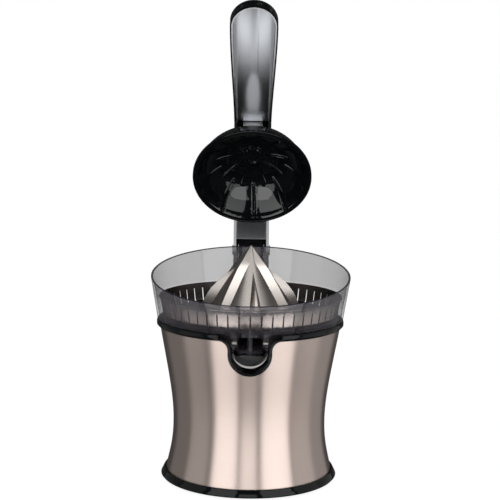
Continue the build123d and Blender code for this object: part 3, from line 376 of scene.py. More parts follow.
# ---------------------------------------------------------------- finishes
class BrushWay(Enum):
    """Direction in which brush lines run: waves per metre along X, Y and Z, or None across the lines."""

    ROUND = (30.0, 30.0, None)
    ACROSS = (20.0, None, None)


@dataclass(frozen=True)
class Finish:
    """What every finish has: a name that says what it is made of and how."""

    name: str

    def start(self, settings: dict) -> tuple[bpy.types.Material, bpy.types.NodeTree, bpy.types.Node,
                                             bpy.types.NodeSocket]:
        """Make the plain material.

        Args:
            settings: Values of the shader's inputs, by name.

        Returns:
            The material, its tree, its shader and the object coordinates.
        """
        material = bpy.data.materials.new(self.name)
        material.use_nodes = True
        tree = material.node_tree
        tree.nodes.clear()
        shader = add_node(tree, "ShaderNodeBsdfPrincipled", settings)
        add_node(tree, "ShaderNodeOutputMaterial", links={"Surface": shader.outputs["BSDF"]})
        place = add_node(tree, "ShaderNodeTexCoord").outputs["Object"]
        return material, tree, shader, place

    @staticmethod
    def roughen(tree: bpy.types.NodeTree, shader: bpy.types.Node, gloss: tuple[bpy.types.Node, float, float],
                relief: tuple[bpy.types.Node, float, float]) -> None:
        """Make the gloss uneven and the surface finely raised.

        Args:
            tree: Tree of the material.
            shader: Its shader.
            gloss: Pattern of the roughness, with its lowest and highest value.
            relief: Pattern of the bump, with its strength and its depth in metres.
        """
        cloud, low, high = gloss
        rough = add_node(tree, "ShaderNodeMapRange", {"To Min": low, "To Max": high},
                         {"Value": cloud.outputs["Fac"]})
        grain, strength, depth = relief
        bump = add_node(tree, "ShaderNodeBump", {"Strength": strength, "Distance": depth},
                        {"Height": grain.outputs["Fac"]})
        tree.links.new(rough.outputs["Result"], shader.inputs["Roughness"])
        tree.links.new(bump.outputs["Normal"], shader.inputs["Normal"])


@dataclass(frozen=True)
class BrushedMetal(Finish):
    """Sheet metal brushed one way, whose lights are drawn out across the brush lines."""

    colour: str
    roughness: float
    anisotropy: float
    line_mm: float
    way: BrushWay = BrushWay.ROUND
    depth: float = 0.15
    streaks: float = 0.07

    def build(self) -> bpy.types.Material:
        """Make the material.

        Returns:
            The finished material.
        """
        # a quarter turn lays the drawn out lights across the tangent
        material, tree, shader, place = self.start(
            {"Metallic": 1.0, "Anisotropic": self.anisotropy, "Anisotropic Rotation": 0.25})
        scale = tuple(1.0 / (self.line_mm * MM) if waves is None else waves for waves in self.way.value)
        lines = add_node(tree, "ShaderNodeMapping", {"Scale": scale}, {"Vector": place})
        grain = add_node(tree, "ShaderNodeTexNoise", {"Scale": 1.0, "Detail": 3.0, "Roughness": 0.6},
                         {"Vector": lines.outputs["Vector"]})
        cloud = add_node(tree, "ShaderNodeTexNoise", {"Scale": 28.0, "Detail": 2.0}, {"Vector": place})
        base = linear(self.colour)
        dark = tuple(channel * (1.0 - self.streaks) for channel in base[:3]) + (1.0,)
        tone = add_node(tree, "ShaderNodeMix", {"data_type": "RGBA", 6: dark, 7: base},
                        {0: grain.outputs["Fac"]})
        self.roughen(tree, shader, (cloud, self.roughness * 0.9, self.roughness * 1.1),
                     (grain, self.depth, 0.00002))
        if self.way is BrushWay.ROUND:
            turn = add_node(tree, "ShaderNodeTangent", {"direction_type": "RADIAL", "axis": "Z"})
            tree.links.new(turn.outputs["Tangent"], shader.inputs["Tangent"])
        else:
            along = add_node(tree, "ShaderNodeCombineXYZ", {"X": 1.0})
            tree.links.new(along.outputs["Vector"], shader.inputs["Tangent"])
        tree.links.new(tone.outputs[2], shader.inputs["Base Color"])
        return material


@dataclass(frozen=True)
class PlainMetal(Finish):
    """Turned, cast, plated or zinc coated metal with a fine even tooth."""

    colour: str
    roughness: float
    tooth_mm: float = 0.6
    depth: float = 0.05

    def build(self) -> bpy.types.Material:
        """Make the material.

        Returns:
            The finished material.
        """
        material, tree, shader, place = self.start({"Metallic": 1.0, "Base Color": linear(self.colour)})
        tooth = add_node(tree, "ShaderNodeTexNoise", {"Scale": 1 / (self.tooth_mm * MM), "Detail": 2.0},
                         {"Vector": place})
        cloud = add_node(tree, "ShaderNodeTexNoise", {"Scale": 40.0, "Detail": 2.0}, {"Vector": place})
        self.roughen(tree, shader, (cloud, self.roughness * 0.85, self.roughness * 1.2),
                     (tooth, self.depth, 0.00002))
        return material


@dataclass(frozen=True)
class Moulded(Finish):
    """Moulded plastic, enamel or rubber, from high gloss to matt."""

    colour: str
    roughness: float
    grain_mm: float
    depth: float
    specular: float = 0.5

    def build(self) -> bpy.types.Material:
        """Make the material.

        Returns:
            The finished material.
        """
        material, tree, shader, place = self.start({"Specular IOR Level": self.specular})
        grain = add_node(tree, "ShaderNodeTexNoise", {"Scale": 1 / (self.grain_mm * MM), "Detail": 3.0},
                         {"Vector": place})
        cloud = add_node(tree, "ShaderNodeTexNoise", {"Scale": 30.0, "Detail": 2.0}, {"Vector": place})
        base = linear(self.colour)
        light = tuple(min(1.0, channel * 1.25 + 0.0005) for channel in base[:3]) + (1.0,)
        tone = add_node(tree, "ShaderNodeMix", {"data_type": "RGBA", 6: base, 7: light},
                        {0: cloud.outputs["Fac"]})
        self.roughen(tree, shader, (cloud, self.roughness * 0.8, self.roughness * 1.25),
                     (grain, self.depth, 0.00003))
        tree.links.new(tone.outputs[2], shader.inputs["Base Color"])
        return material


@dataclass(frozen=True)
class ClearPlastic(Finish):
    """Clear moulded plastic with a smoke tint, denser seen edge on and towards its top, in metres."""

    colour: str
    low_density: float
    top_density: float
    edge_density: float
    low_height: float = 0.166
    top_height: float = 0.178
    roughness: float = 0.03
    ior: float = 1.57

    def build(self) -> bpy.types.Material:
        """Make the material.

        Returns:
            The finished material.
        """
        material, tree, shader, place = self.start(
            {"Base Color": linear(self.colour), "IOR": self.ior, "Specular IOR Level": 1.0})
        flow = add_node(tree, "ShaderNodeTexNoise", {"Scale": 35.0, "Detail": 2.0}, {"Vector": place})
        self.roughen(tree, shader, (flow, self.roughness * 0.6, self.roughness * 1.6), (flow, 0.02, 0.0001))
        slant = add_node(tree, "ShaderNodeLayerWeight", {"Blend": 0.5})
        sharp = add_node(tree, "ShaderNodeMath", {"operation": "POWER", 1: 3.0}, {0: slant.outputs["Facing"]})
        height = add_node(tree, "ShaderNodeSeparateXYZ", links={"Vector": place})
        face_on = add_node(tree, "ShaderNodeMapRange",
                           {"From Min": self.low_height, "From Max": self.top_height,
                            "To Min": self.low_density, "To Max": self.top_density},
                           {"Value": height.outputs["Z"]})
        density = add_node(tree, "ShaderNodeMapRange", {"To Max": self.edge_density},
                           {"Value": sharp.outputs["Value"], "To Min": face_on.outputs["Result"]})
        tree.links.new(density.outputs["Result"], shader.inputs["Alpha"])
        return material


class FinishRack:
    """Every finish of the press, made once, by the record's material slot."""

    def __init__(self) -> None:
        """Make the finishes."""
        self.by_slot: dict[str, bpy.types.Material] = {
            # stainless sheet brushed round the body: lights drawn out into upright bands
            "brushed_steel": BrushedMetal("brushed_stainless_sheet", "#E2D0C7", 0.29, 0.75, 1.0).build(),
            # cast and polished stainless: soft wide lights on flat facets
            "satin_steel": PlainMetal("satin_cast_stainless", "#DDD5CF", 0.27, 0.9, 0.06).build(),
            # deep drawn stainless sheet: bright, with a slight warm tone
            "pressed_steel": PlainMetal("pressed_stainless_dish", "#D2C6C0", 0.2).build(),
            # satin chrome plate on the lever's band and the dome's bracket
            "bright_trim": PlainMetal("satin_chrome_plate", "#D6D7D9", 0.3).build(),
            # sheet brushed along the lever: cool grey with soft reflections
            "panel_metal": BrushedMetal("satin_grip_panel", "#D3D6DB", 0.3, 0.2, 0.9, BrushWay.ACROSS, 0.05,
                                        0.03).build(),
            # polished injection moulded ABS: black with sharp reflections
            "gloss_black": Moulded("gloss_black_abs", "#040506", 0.06, 3.0, 0.02, 0.3).build(),
            # black enamel on a casting: nearly as sharp, slightly uneven
            "black_casting": Moulded("black_enamel_casting", "#07090A", 0.12, 2.0, 0.04).build(),
            # spark eroded ABS: matt and finely grained
            "black_matte": Moulded("matt_black_abs", "#141415", 0.55, 0.6, 0.3).build(),
            # natural polyamide: milky and half matt
            "white_nylon": Moulded("natural_nylon", "#D9D6C8", 0.4, 0.8, 0.1).build(),
            "rubber_black": Moulded("black_rubber", "#101010", 0.7, 0.5, 0.3).build(),
            "zinc_steel": PlainMetal("zinc_plated_steel", "#B9BABC", 0.35).build(),
            "spring_steel": PlainMetal("bare_spring_steel", "#8C8C90", 0.3).build(),
            "bush_brass": PlainMetal("turned_brass", "#C9A257", 0.25).build(),
            # clear SAN with a smoke tint: grey walls and dark edges
            "smoke_clear": ClearPlastic("smoke_clear_san", "#4A474C", 0.10, 0.37, 0.6).build(),
        }
        # the same plastic looked at through its edge, where light has a long way to go
        self.clear_edge = ClearPlastic("smoke_clear_san_edge", "#15101F", 0.9, 0.9, 0.98).build()
        # the thin trough, which shows the black notch behind it and only its lights
        self.clear_trough = ClearPlastic("smoke_clear_san_trough", "#141416", 0.05, 0.05, 0.25).build()
        # painted highlight: a light grey opaque finish on a crescent inside the trough's front edge, standing
        # in for the glint of light piped through it
        self.painted_glint_edge = Moulded("smoke_clear_san_painted_glint", "#7A7776", 0.12, 3.0, 0.02, 0.8).build()
        # painted shade and reflection: a darker copy of the pressed steel for the dish's inside, which only
        # sees the dark dome, the cone and itself
        self.dish_inside_painted_shade = PlainMetal("pressed_stainless_painted_shade", "#57524F", 0.24).build()


# ---------------------------------------------------------------- sub-assemblies
@dataclass
class SubAssembly:
    """A group of pieces, each standing for one node of the frame and riding on its body."""

    rack: FinishRack
    pieces: list[Piece] = field(default_factory=list, init=False)

    def add(self, piece: Piece, body: str, slot: str) -> None:
        """Give a piece its finish and its body.

        Args:
            piece: The finished mesh.
            body: Body that it rides on.
            slot: Material slot of its finish.
        """
        piece.data.materials.clear()
        piece.data.materials.append(self.rack.by_slot[slot])
        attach(piece, body)
        self.pieces.append(piece)
        LOG.info("%s rides on %s, %d faces", piece.name, body, len(piece.data.polygons))

    def dress(self, piece: Piece, node: str) -> None:
        """Give a piece the finish of its node, its body and the node's place.

        Args:
            piece: The finished mesh.
            node: Node that the piece stands for.
        """
        body = next(name for name, nodes in frame["record"]["behaviour"]["bodies"].items() if node in nodes)
        self.add(piece, body, self.slot_of(node))
        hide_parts(node)
        LOG.info("%s stands for %s", piece.name, node)

    @staticmethod
    def slot_of(node: str) -> str:
        """Material slot that the record gives a node."""
        return next(row["material_slot"] for row in frame["record"]["subparts"] if row["node"] == node)


@dataclass
class Housing(SubAssembly):
    """Base ring, steel body, black top moulding, lead bush and lever column, in millimetres."""

    smooth_angle: float = 32.0
    # two Bezier curves of the body's side, as (radius, height)
    side_low: tuple[Point, ...] = ((80.6, 5.0), (77.2, 22.0), (73.1, 32.0), (73.1, 56.0))
    side_high: tuple[Point, ...] = ((73.1, 56.0), (73.1, 82.0), (80.1, 112.2), (86.3, 148.2))
    side_steps: int = 24
    sheet: float = 1.0
    notch_half: float = 20.3
    notch_centre: float = 135.5
    notch_flare: float = 9.0
    # how far the notch's cutter stands above the body, and where it ends behind and in front
    notch_above: float = 5.0
    notch_reach: Point = (60.0, 100.0)
    # holes through the back, as (x, height, radius), and where their cutters lie
    holes: tuple[Spot, ...] = (
        (-11.0, 124.0, 2.3), (11.0, 124.0, 2.3), (0.0, 24.0, 6.55))
    hole_y: float = 80.0
    hole_depth: float = 30.0

    def build(self) -> None:
        """Build the housing's pieces."""
        for node in ("base_ring", "top_deck", "cord_gland", "hinge_tower", "rubber_feet"):
            self.dress(copied(node, self.smooth_angle), node)
        sleeve = turned("steel_sleeve_body", self.side(), sides=360)
        combine(sleeve, self.notch(), "DIFFERENCE")
        for x, height, radius in self.holes:
            deselect_all()
            bpy.ops.mesh.primitive_cylinder_add(vertices=48, radius=radius * MM, depth=self.hole_depth * MM,
                                                location=(x * MM, self.hole_y * MM, height * MM),
                                                rotation=(math.pi / 2, 0.0, 0.0))
            combine(sleeve, settle(bpy.context.object), "DIFFERENCE")
        self.dress(smooth(sleeve, self.smooth_angle), "steel_sleeve")

    def side(self) -> list[Point]:
        """Closed section of the body's sheet.

        Returns:
            Corners as (radius, height), up the outside and down the inside.
        """
        outside = []
        for curve in (self.side_low, self.side_high):
            for step in range(self.side_steps):
                t = step / self.side_steps
                weights = ((1 - t) ** 3, 3 * t * (1 - t) ** 2, 3 * t * t * (1 - t), t ** 3)
                outside.append(tuple(sum(weight * point[axis] for weight, point in zip(weights, curve))
                                     for axis in (0, 1)))
        outside.append(self.side_high[-1])
        return outside + [(radius - self.sheet, height) for radius, height in reversed(outside)]

    def notch(self) -> Piece:
        """Model the block that cuts the notch for the trough.

        Returns:
            The new piece.
        """
        half, centre, flare = self.notch_half, self.notch_centre, self.notch_flare
        top, wide = self.side_high[-1][1], half + flare
        above, bend, low = top + self.notch_above, top - flare, centre - half
        round_pull, flare_pull = QUARTER_PULL * half, QUARTER_PULL * flare
        # a handle of 1 mm on the straight stretches only has to lie on them
        right = [knot((half, centre), (half, centre - round_pull), (half, centre + 1.0)),
                 knot((half, bend), (half, bend - 1.0), (half, bend + flare_pull)),
                 knot((wide, top), (wide - flare_pull, top), (wide, top + 1.0)),
                 knot((wide, above), (wide, above - 1.0), (wide - 1.0, above))]
        foot = knot((0.0, low), (-round_pull, low), (round_pull, low))
        return stood_up(prism("notch_block", [foot] + right + mirrored(right), *self.notch_reach))


@dataclass
class JuiceBowl(SubAssembly):
    """Clear bowl with its sloping rim, chimney, outlet, tongue, ears and drip peg, in millimetres."""

    wall: float = 2.0
    floor_low: float = 138.0
    foot_radius: float = 80.0
    foot_round: float = 6.0
    ledge: float = 155.3
    ledge_radius: float = 89.0
    flare: float = 0.162
    chimney: Spot = (10.6, 12.8, 163.0)
    rim_front: float = 182.0
    rim_back: float = 211.0
    rim_spare: float = 3.0
    rim_edge: float = 0.8
    # a face this near the rim's plane belongs to its edge, as a share of the rounding
    rim_depth: float = 1.2
    outlet_half: float = 11.0
    outlet_height: float = 11.0
    outlet_past: float = 3.0
    tongue_y: float = -85.5
    tongue_root: float = 9.0
    # radius, y and foot of the peg, and how far its foot is drawn in at what height
    peg: Spot = (2.1, -86.0, 136.0)
    peg_foot: tuple[Point, ...] = ((0.9, 0.0), (0.25, 0.4), (0.0, 1.1))
    axis_hole: float = 0.05
    ear_x: float = 13.2
    ear_half: float = 2.6
    ear_thick: float = 2.0
    pivot: Point = (-84.5, 147.0)
    # how far what hangs under the ledge reaches up into it
    rooted: float = 1.0
    # a cutter or a joined block keeps this much off a flat face that it would else share
    shy: float = 0.02

    def radius(self, height: float) -> float:
        """Outside radius of the flaring wall at a height."""
        return self.ledge_radius + self.flare * (height - self.ledge)

    def outline(self) -> list[Point]:
        """Closed section of the bowl before its rim is cut.

        Returns:
            Corners as (radius, height).
        """
        bore, outside, chimney_top = self.chimney
        floor_top = self.floor_low + self.wall
        inner = self.foot_radius - self.wall
        ledge_top = self.ledge + self.wall
        top = self.rim_back + self.rim_spare
        points = [(bore, self.floor_low), (bore, chimney_top), (outside, chimney_top), (outside, floor_top)]
        points += self.bend(inner - self.foot_round, floor_top + self.foot_round, self.foot_round, True)
        points += [(inner, ledge_top), (self.radius(ledge_top) - self.wall, ledge_top),
                   (self.radius(top) - self.wall, top), (self.radius(top), top),
                   (self.ledge_radius, self.ledge), (self.foot_radius, self.ledge)]
        points += self.bend(self.foot_radius - self.foot_round, self.floor_low + self.foot_round,
                            self.foot_round, False)
        return points

    @staticmethod
    def bend(radius: float, height: float, size: float, outwards: bool) -> list[Point]:
        """Points of a quarter round between a floor and a wall.

        Args:
            radius: Radius of the bend's centre.
            height: Height of the bend's centre.
            size: The bend's own radius.
            outwards: Whether the points run from the floor out to the wall.

        Returns:
            Corners as (radius, height).
        """
        steps = 6
        angles = [math.radians(-90 + 90 * step / steps) for step in range(steps + 1)]
        points = [(radius + size * math.cos(angle), height + size * math.sin(angle)) for angle in angles]
        return points if outwards else points[::-1]

    def build(self) -> None:
        """Turn the bowl, cut its rim on the slope, and add what hangs under its front."""
        bowl = turned("juice_bowl_body", self.outline(), sides=256)
        self.cut_rim(bowl)
        self.open_outlet(bowl)
        self.hang_parts(bowl)
        self.dress(smooth(bowl, 28.0), "juice_bowl")
        self.darken_rim(bowl)

    def rim_plane(self) -> tuple[Vector, Vector]:
        """Plane of the sloping rim.

        Returns:
            Its foremost point in metres, and the direction square to it.
        """
        front = Vector((0.0, -self.radius(self.rim_front), self.rim_front)) * MM
        back = Vector((0.0, self.radius(self.rim_back), self.rim_back)) * MM
        return front, Vector((0.0, front.z - back.z, back.y - front.y)).normalized()

    def cut_rim(self, bowl: Piece) -> None:
        """Cut the wall off along the sloping rim and close and round its edge.

        Args:
            bowl: The bowl with a level rim.
        """
        front, normal = self.rim_plane()
        edit_all(bowl)
        bpy.ops.mesh.bisect(plane_co=front, plane_no=normal, clear_outer=True, threshold=0.000001)
        bpy.ops.mesh.select_all(action="DESELECT")
        bpy.ops.mesh.select_mode(type="EDGE")
        bpy.ops.mesh.select_non_manifold(extend=False)
        bpy.ops.mesh.bridge_edge_loops()
        bpy.ops.mesh.select_all(action="SELECT")
        bpy.ops.mesh.normals_make_consistent(inside=False)
        bpy.ops.mesh.select_mode(type="VERT")
        bpy.ops.object.mode_set(mode="OBJECT")
        ease_edges(bowl, self.rim_edge, 3, 50.0)

    def darken_rim(self, bowl: Piece) -> None:
        """Give the rim's edge the denser look that clear plastic has edge on.

        Args:
            bowl: The finished bowl.
        """
        front, normal = self.rim_plane()
        depth = self.rim_edge * self.rim_depth * MM
        bowl.data.materials.append(self.rack.clear_edge)
        for face in bowl.data.polygons:
            if (face.center - front).dot(normal) > -depth:
                face.material_index = 1

    def open_outlet(self, bowl: Piece) -> None:
        """Cut the juice outlet through the front of the bowl's foot.

        Args:
            bowl: The bowl.
        """
        half, low, past = self.outlet_half, self.floor_low + self.wall, self.outlet_past
        inner = self.foot_radius - self.wall - self.foot_round
        cutter = rounded_block("outlet_cutter", (-half, -self.foot_radius - past, low + self.shy),
                               (half, -inner + past, low + self.outlet_height), 0.8)
        combine(bowl, cutter, "DIFFERENCE")

    def hang_parts(self, bowl: Piece) -> None:
        """Add the tongue, the drip peg and the two ears that carry the trough.

        Args:
            bowl: The bowl.
        """
        half, root = self.outlet_half, self.ledge + self.rooted
        tongue = rounded_block("tongue", (-half, self.tongue_y, self.floor_low + 1.5 * self.shy),
                               (half, -self.foot_radius + self.tongue_root,
                                self.floor_low + self.wall - self.shy), 0.4)
        combine(bowl, tongue, "UNION")
        peg_radius, peg_y, peg_low = self.peg
        foot = [(peg_radius - inset, peg_low + rise) for inset, rise in self.peg_foot]
        section = [(self.axis_hole, peg_low), *foot, (peg_radius, root), (self.axis_hole, root)]
        peg = turned("drip_peg", section, (0.0, peg_y), 32)
        combine(bowl, peg, "UNION")
        pivot_y, pivot_z = self.pivot
        for x in (-self.ear_x, self.ear_x):
            half_thick, half_wide = self.ear_thick / 2, self.ear_half
            ear = rounded_block("ear", (x - half_thick, pivot_y - half_wide, pivot_z - half_wide),
                                (x + half_thick, pivot_y + half_wide, root), 0.8)
            combine(bowl, ear, "UNION")


@dataclass
class JuiceParts(SubAssembly):
    """Slotted strainer, and the clear trough with its pins."""

    smooth_angle: float = 30.0
    # a face of the strainer counts as outside where its normal leans out by more than this; the faces inside
    # get the darker copy of the steel, a painted shade
    outside_lean: float = 0.2

    def build(self) -> None:
        """Build the pieces that the juice runs over."""
        strainer = copied("strainer", self.smooth_angle)
        self.dress(strainer, "strainer")
        strainer.data.materials.append(self.rack.dish_inside_painted_shade)
        # the faces inside take the darker copy of the steel, a painted shade and reflection
        for face in strainer.data.polygons:
            outwards = face.normal.x * face.center.x + face.normal.y * face.center.y
            if outwards < self.outside_lean * math.hypot(face.center.x, face.center.y):
                face.material_index = 1
        spout = copied("drip_spout", self.smooth_angle)
        self.dress(spout, "drip_spout")
        spout.data.materials[0] = self.rack.clear_trough
        self.dress(copied("spout_pins", self.smooth_angle), "spout_pins")


@dataclass
class TroughGlint(SubAssembly):
    """Painted highlight: a light opaque crescent where the clear trough is looked at through its front edge,
    standing in for its glint, in millimetres.
    """

    tip_x: float = 15.9
    tip_z: float = 142.0
    low_z: float = 127.0
    thick: float = 1.8
    front_y: float = 98.46
    back_y: float = 98.0
    # handles as shares of the crescent's half width and height, and the inner curve's against the outer's
    pull: float = 0.55
    inner_pull: float = 0.9

    def build(self) -> None:
        """Model the painted highlight's crescent and hang it on the trough."""
        x, z, low, inner = self.tip_x, self.tip_z, self.low_z, self.low_z + self.thick
        down, side = (z - low) * self.pull, x * self.pull
        tip = knot((x, z), (x, z - down), (x, z - down * self.inner_pull))
        corners = [knot((0.0, low), (-side, low), (side, low)), tip,
                   knot((0.0, inner), (side, inner), (-side, inner))] + mirrored([tip])
        lip = stood_up(prism("trough_painted_glint", corners, self.back_y, self.front_y))
        self.add(smooth(lip, 30.0), "spout", "smoke_clear")
        # the crescent takes the light opaque finish that paints the glint
        lip.data.materials[0] = self.rack.painted_glint_edge


@dataclass
class FlutedCone(SubAssembly):
    """Steel cone with four tall sharp ridges and four low ribs between them, in millimetres."""

    foot_z: float = 168.0
    top_z: float = 225.0
    flute_radius: float = 40.0
    # radius and thickness of the flange
    flange: Point = (46.4, 1.6)
    # the hollow underside, as (radius, height) from the flange in to the hub
    hollow: tuple[Point, ...] = ((38.4, 168.0), (15.65, 181.0), (9.65, 187.0), (6.65, 196.05), (0.3, 196.05))
    point: float = 0.3
    ridge_turn: float = -38.0
    ridges: int = 4
    # height, radius of the crest, half width at the flutes
    ridge_shape: tuple[Spot, ...] = (
        (224.6, 0.45, 0.3), (211.0, 14.3, 7.4), (204.0, 21.5, 6.1), (186.0, 35.4, 5.3), (170.6, 46.2, 4.6),
        (168.0, 46.2, 4.5))
    ridge_crest: float = 0.07
    ridge_sunk: float = 0.3
    ridge_steps: int = 36
    # least height of the crest over the ridge's foot
    ridge_least: float = 0.1
    rib_top: float = 203.0
    rib_half: float = 6.6
    rib_crest: float = 0.23
    rib_height: float = 9.4
    rib_sunk: float = 2.0
    rib_reach: float = 0.8
    rib_steps: int = 24
    # width of the rib's upper end as a share of its foot's
    rib_point: float = 0.02
    tip_radius: float = 1.5

    def build(self) -> None:
        """Turn the flutes, loft the ridges and ribs on them, and join them all."""
        rim, flange_top = self.flange[0], self.foot_z + self.flange[1]
        cone = turned("reamer_body", [
            (self.point, self.top_z), (self.flute(flange_top), flange_top), (rim, flange_top),
            (rim, self.foot_z), *self.hollow], sides=256)
        parts = [cone]
        for index in range(self.ridges):
            bearing = -90.0 + self.ridge_turn + index * 360.0 / self.ridges
            parts.append(self.loft("ridge", self.ridge_rings(), self.ridge_crest, bearing))
            parts.append(self.loft("rib", self.rib_rings(), self.rib_crest, bearing + 180.0 / self.ridges))
        deselect_all()
        bpy.ops.mesh.primitive_uv_sphere_add(segments=48, ring_count=24, radius=self.tip_radius * MM,
                                             location=(0.0, 0.0, (self.top_z - self.tip_radius) * MM))
        parts.append(settle(bpy.context.object))
        take(cone)
        for part in parts:
            part.select_set(True)
        bpy.ops.object.join()
        self.dress(smooth(cone, 20.0), "reamer")

    def flute(self, height: float) -> float:
        """Radius of the plain cone between the ridges at a height."""
        return (self.top_z - height) * self.flute_radius / (self.top_z - self.foot_z)

    def ridge_rings(self) -> list[tuple[float, float, float, float]]:
        """Rings of a ridge from the tip down, set evenly between its given sections.

        Returns:
            Height, radius of the foot, radius of the crest and half width of each ring.
        """
        rows = self.ridge_shape
        rings = []
        for step in range(self.ridge_steps + 1):
            height = rows[0][0] + (rows[-1][0] - rows[0][0]) * step / self.ridge_steps
            start = max(index for index in range(len(rows) - 1) if rows[index][0] >= height)
            high, low = rows[start], rows[start + 1]
            share = (high[0] - height) / (high[0] - low[0])
            crest, half = (high[part] + (low[part] - high[part]) * share for part in (1, 2))
            # the foot follows the round flutes, and stays outside the axis near the tip
            foot = math.sqrt(max(self.flute(height) - self.ridge_sunk, half * 1.05) ** 2 - half ** 2)
            rings.append((height, foot, max(crest, foot + self.ridge_least), half))
        return rings

    def rib_rings(self) -> list[tuple[float, float, float, float]]:
        """Rings of a low rib from its point down, with its bulging crest.

        Returns:
            Height, radius of the foot, radius of the crest and half width of each ring.
        """
        rings = []
        for step in range(self.rib_steps + 1):
            share = max(step / self.rib_steps, self.rib_point)
            height = self.rib_top - (self.rib_top - self.foot_z) * share
            bulge = share * self.rib_reach
            crest = self.flute(height) + self.rib_height * 4.0 * bulge * (1.0 - bulge)
            rings.append((height, self.flute(height) - self.rib_sunk, crest, self.rib_half * share))
        return rings

    @staticmethod
    def loft(name: str, rings: list[tuple[float, float, float, float]], crest_share: float,
             bearing: float) -> Piece:
        """Extrude one four cornered ring after another down a ridge.

        Args:
            name: Name of the new piece.
            rings: Height, foot radius, crest radius and half width of each ring.
            crest_share: Width of the crest as a share of the foot's.
            bearing: Turn of the ridge about the cone's axis in degrees.

        Returns:
            The new piece.
        """
        height, foot, crest, half = rings[0]
        deselect_all()
        bpy.ops.mesh.primitive_plane_add(size=1.0, location=(0.5, 0.0, 0.0))
        piece = bpy.context.object
        piece.name = name
        settle(piece)
        edit_all(piece)
        bpy.ops.mesh.select_all(action="DESELECT")
        bpy.ops.object.mode_set(mode="OBJECT")
        for vertex in piece.data.vertices:
            vertex.select = vertex.co.x > 0.5
        bpy.ops.object.mode_set(mode="EDIT")
        bpy.ops.transform.resize(value=(1.0, crest_share, 1.0), center_override=(1.0, 0.0, 0.0))
        bpy.ops.mesh.select_all(action="SELECT")
        bpy.ops.transform.resize(value=((crest - foot) * MM, 2 * half * MM, 1.0),
                                 center_override=(0.0, 0.0, 0.0))
        bpy.ops.transform.translate(value=(foot * MM, 0.0, height * MM))
        bpy.ops.mesh.delete(type="ONLY_FACE")
        bpy.ops.mesh.select_all(action="SELECT")
        for next_height, next_foot, next_crest, next_half in rings[1:]:
            bpy.ops.mesh.extrude_edges_move(
                TRANSFORM_OT_translate={"value": (0.0, 0.0, (next_height - height) * MM)})
            bpy.ops.transform.resize(value=((next_crest - next_foot) / (crest - foot), next_half / half, 1.0),
                                     center_override=(foot * MM, 0.0, next_height * MM))
            bpy.ops.transform.translate(value=((next_foot - foot) * MM, 0.0, 0.0))
            height, foot, crest, half = next_height, next_foot, next_crest, next_half
        bpy.ops.mesh.edge_face_add()
        close_mesh()
        piece.rotation_euler.z = math.radians(bearing)
        return settle(piece)


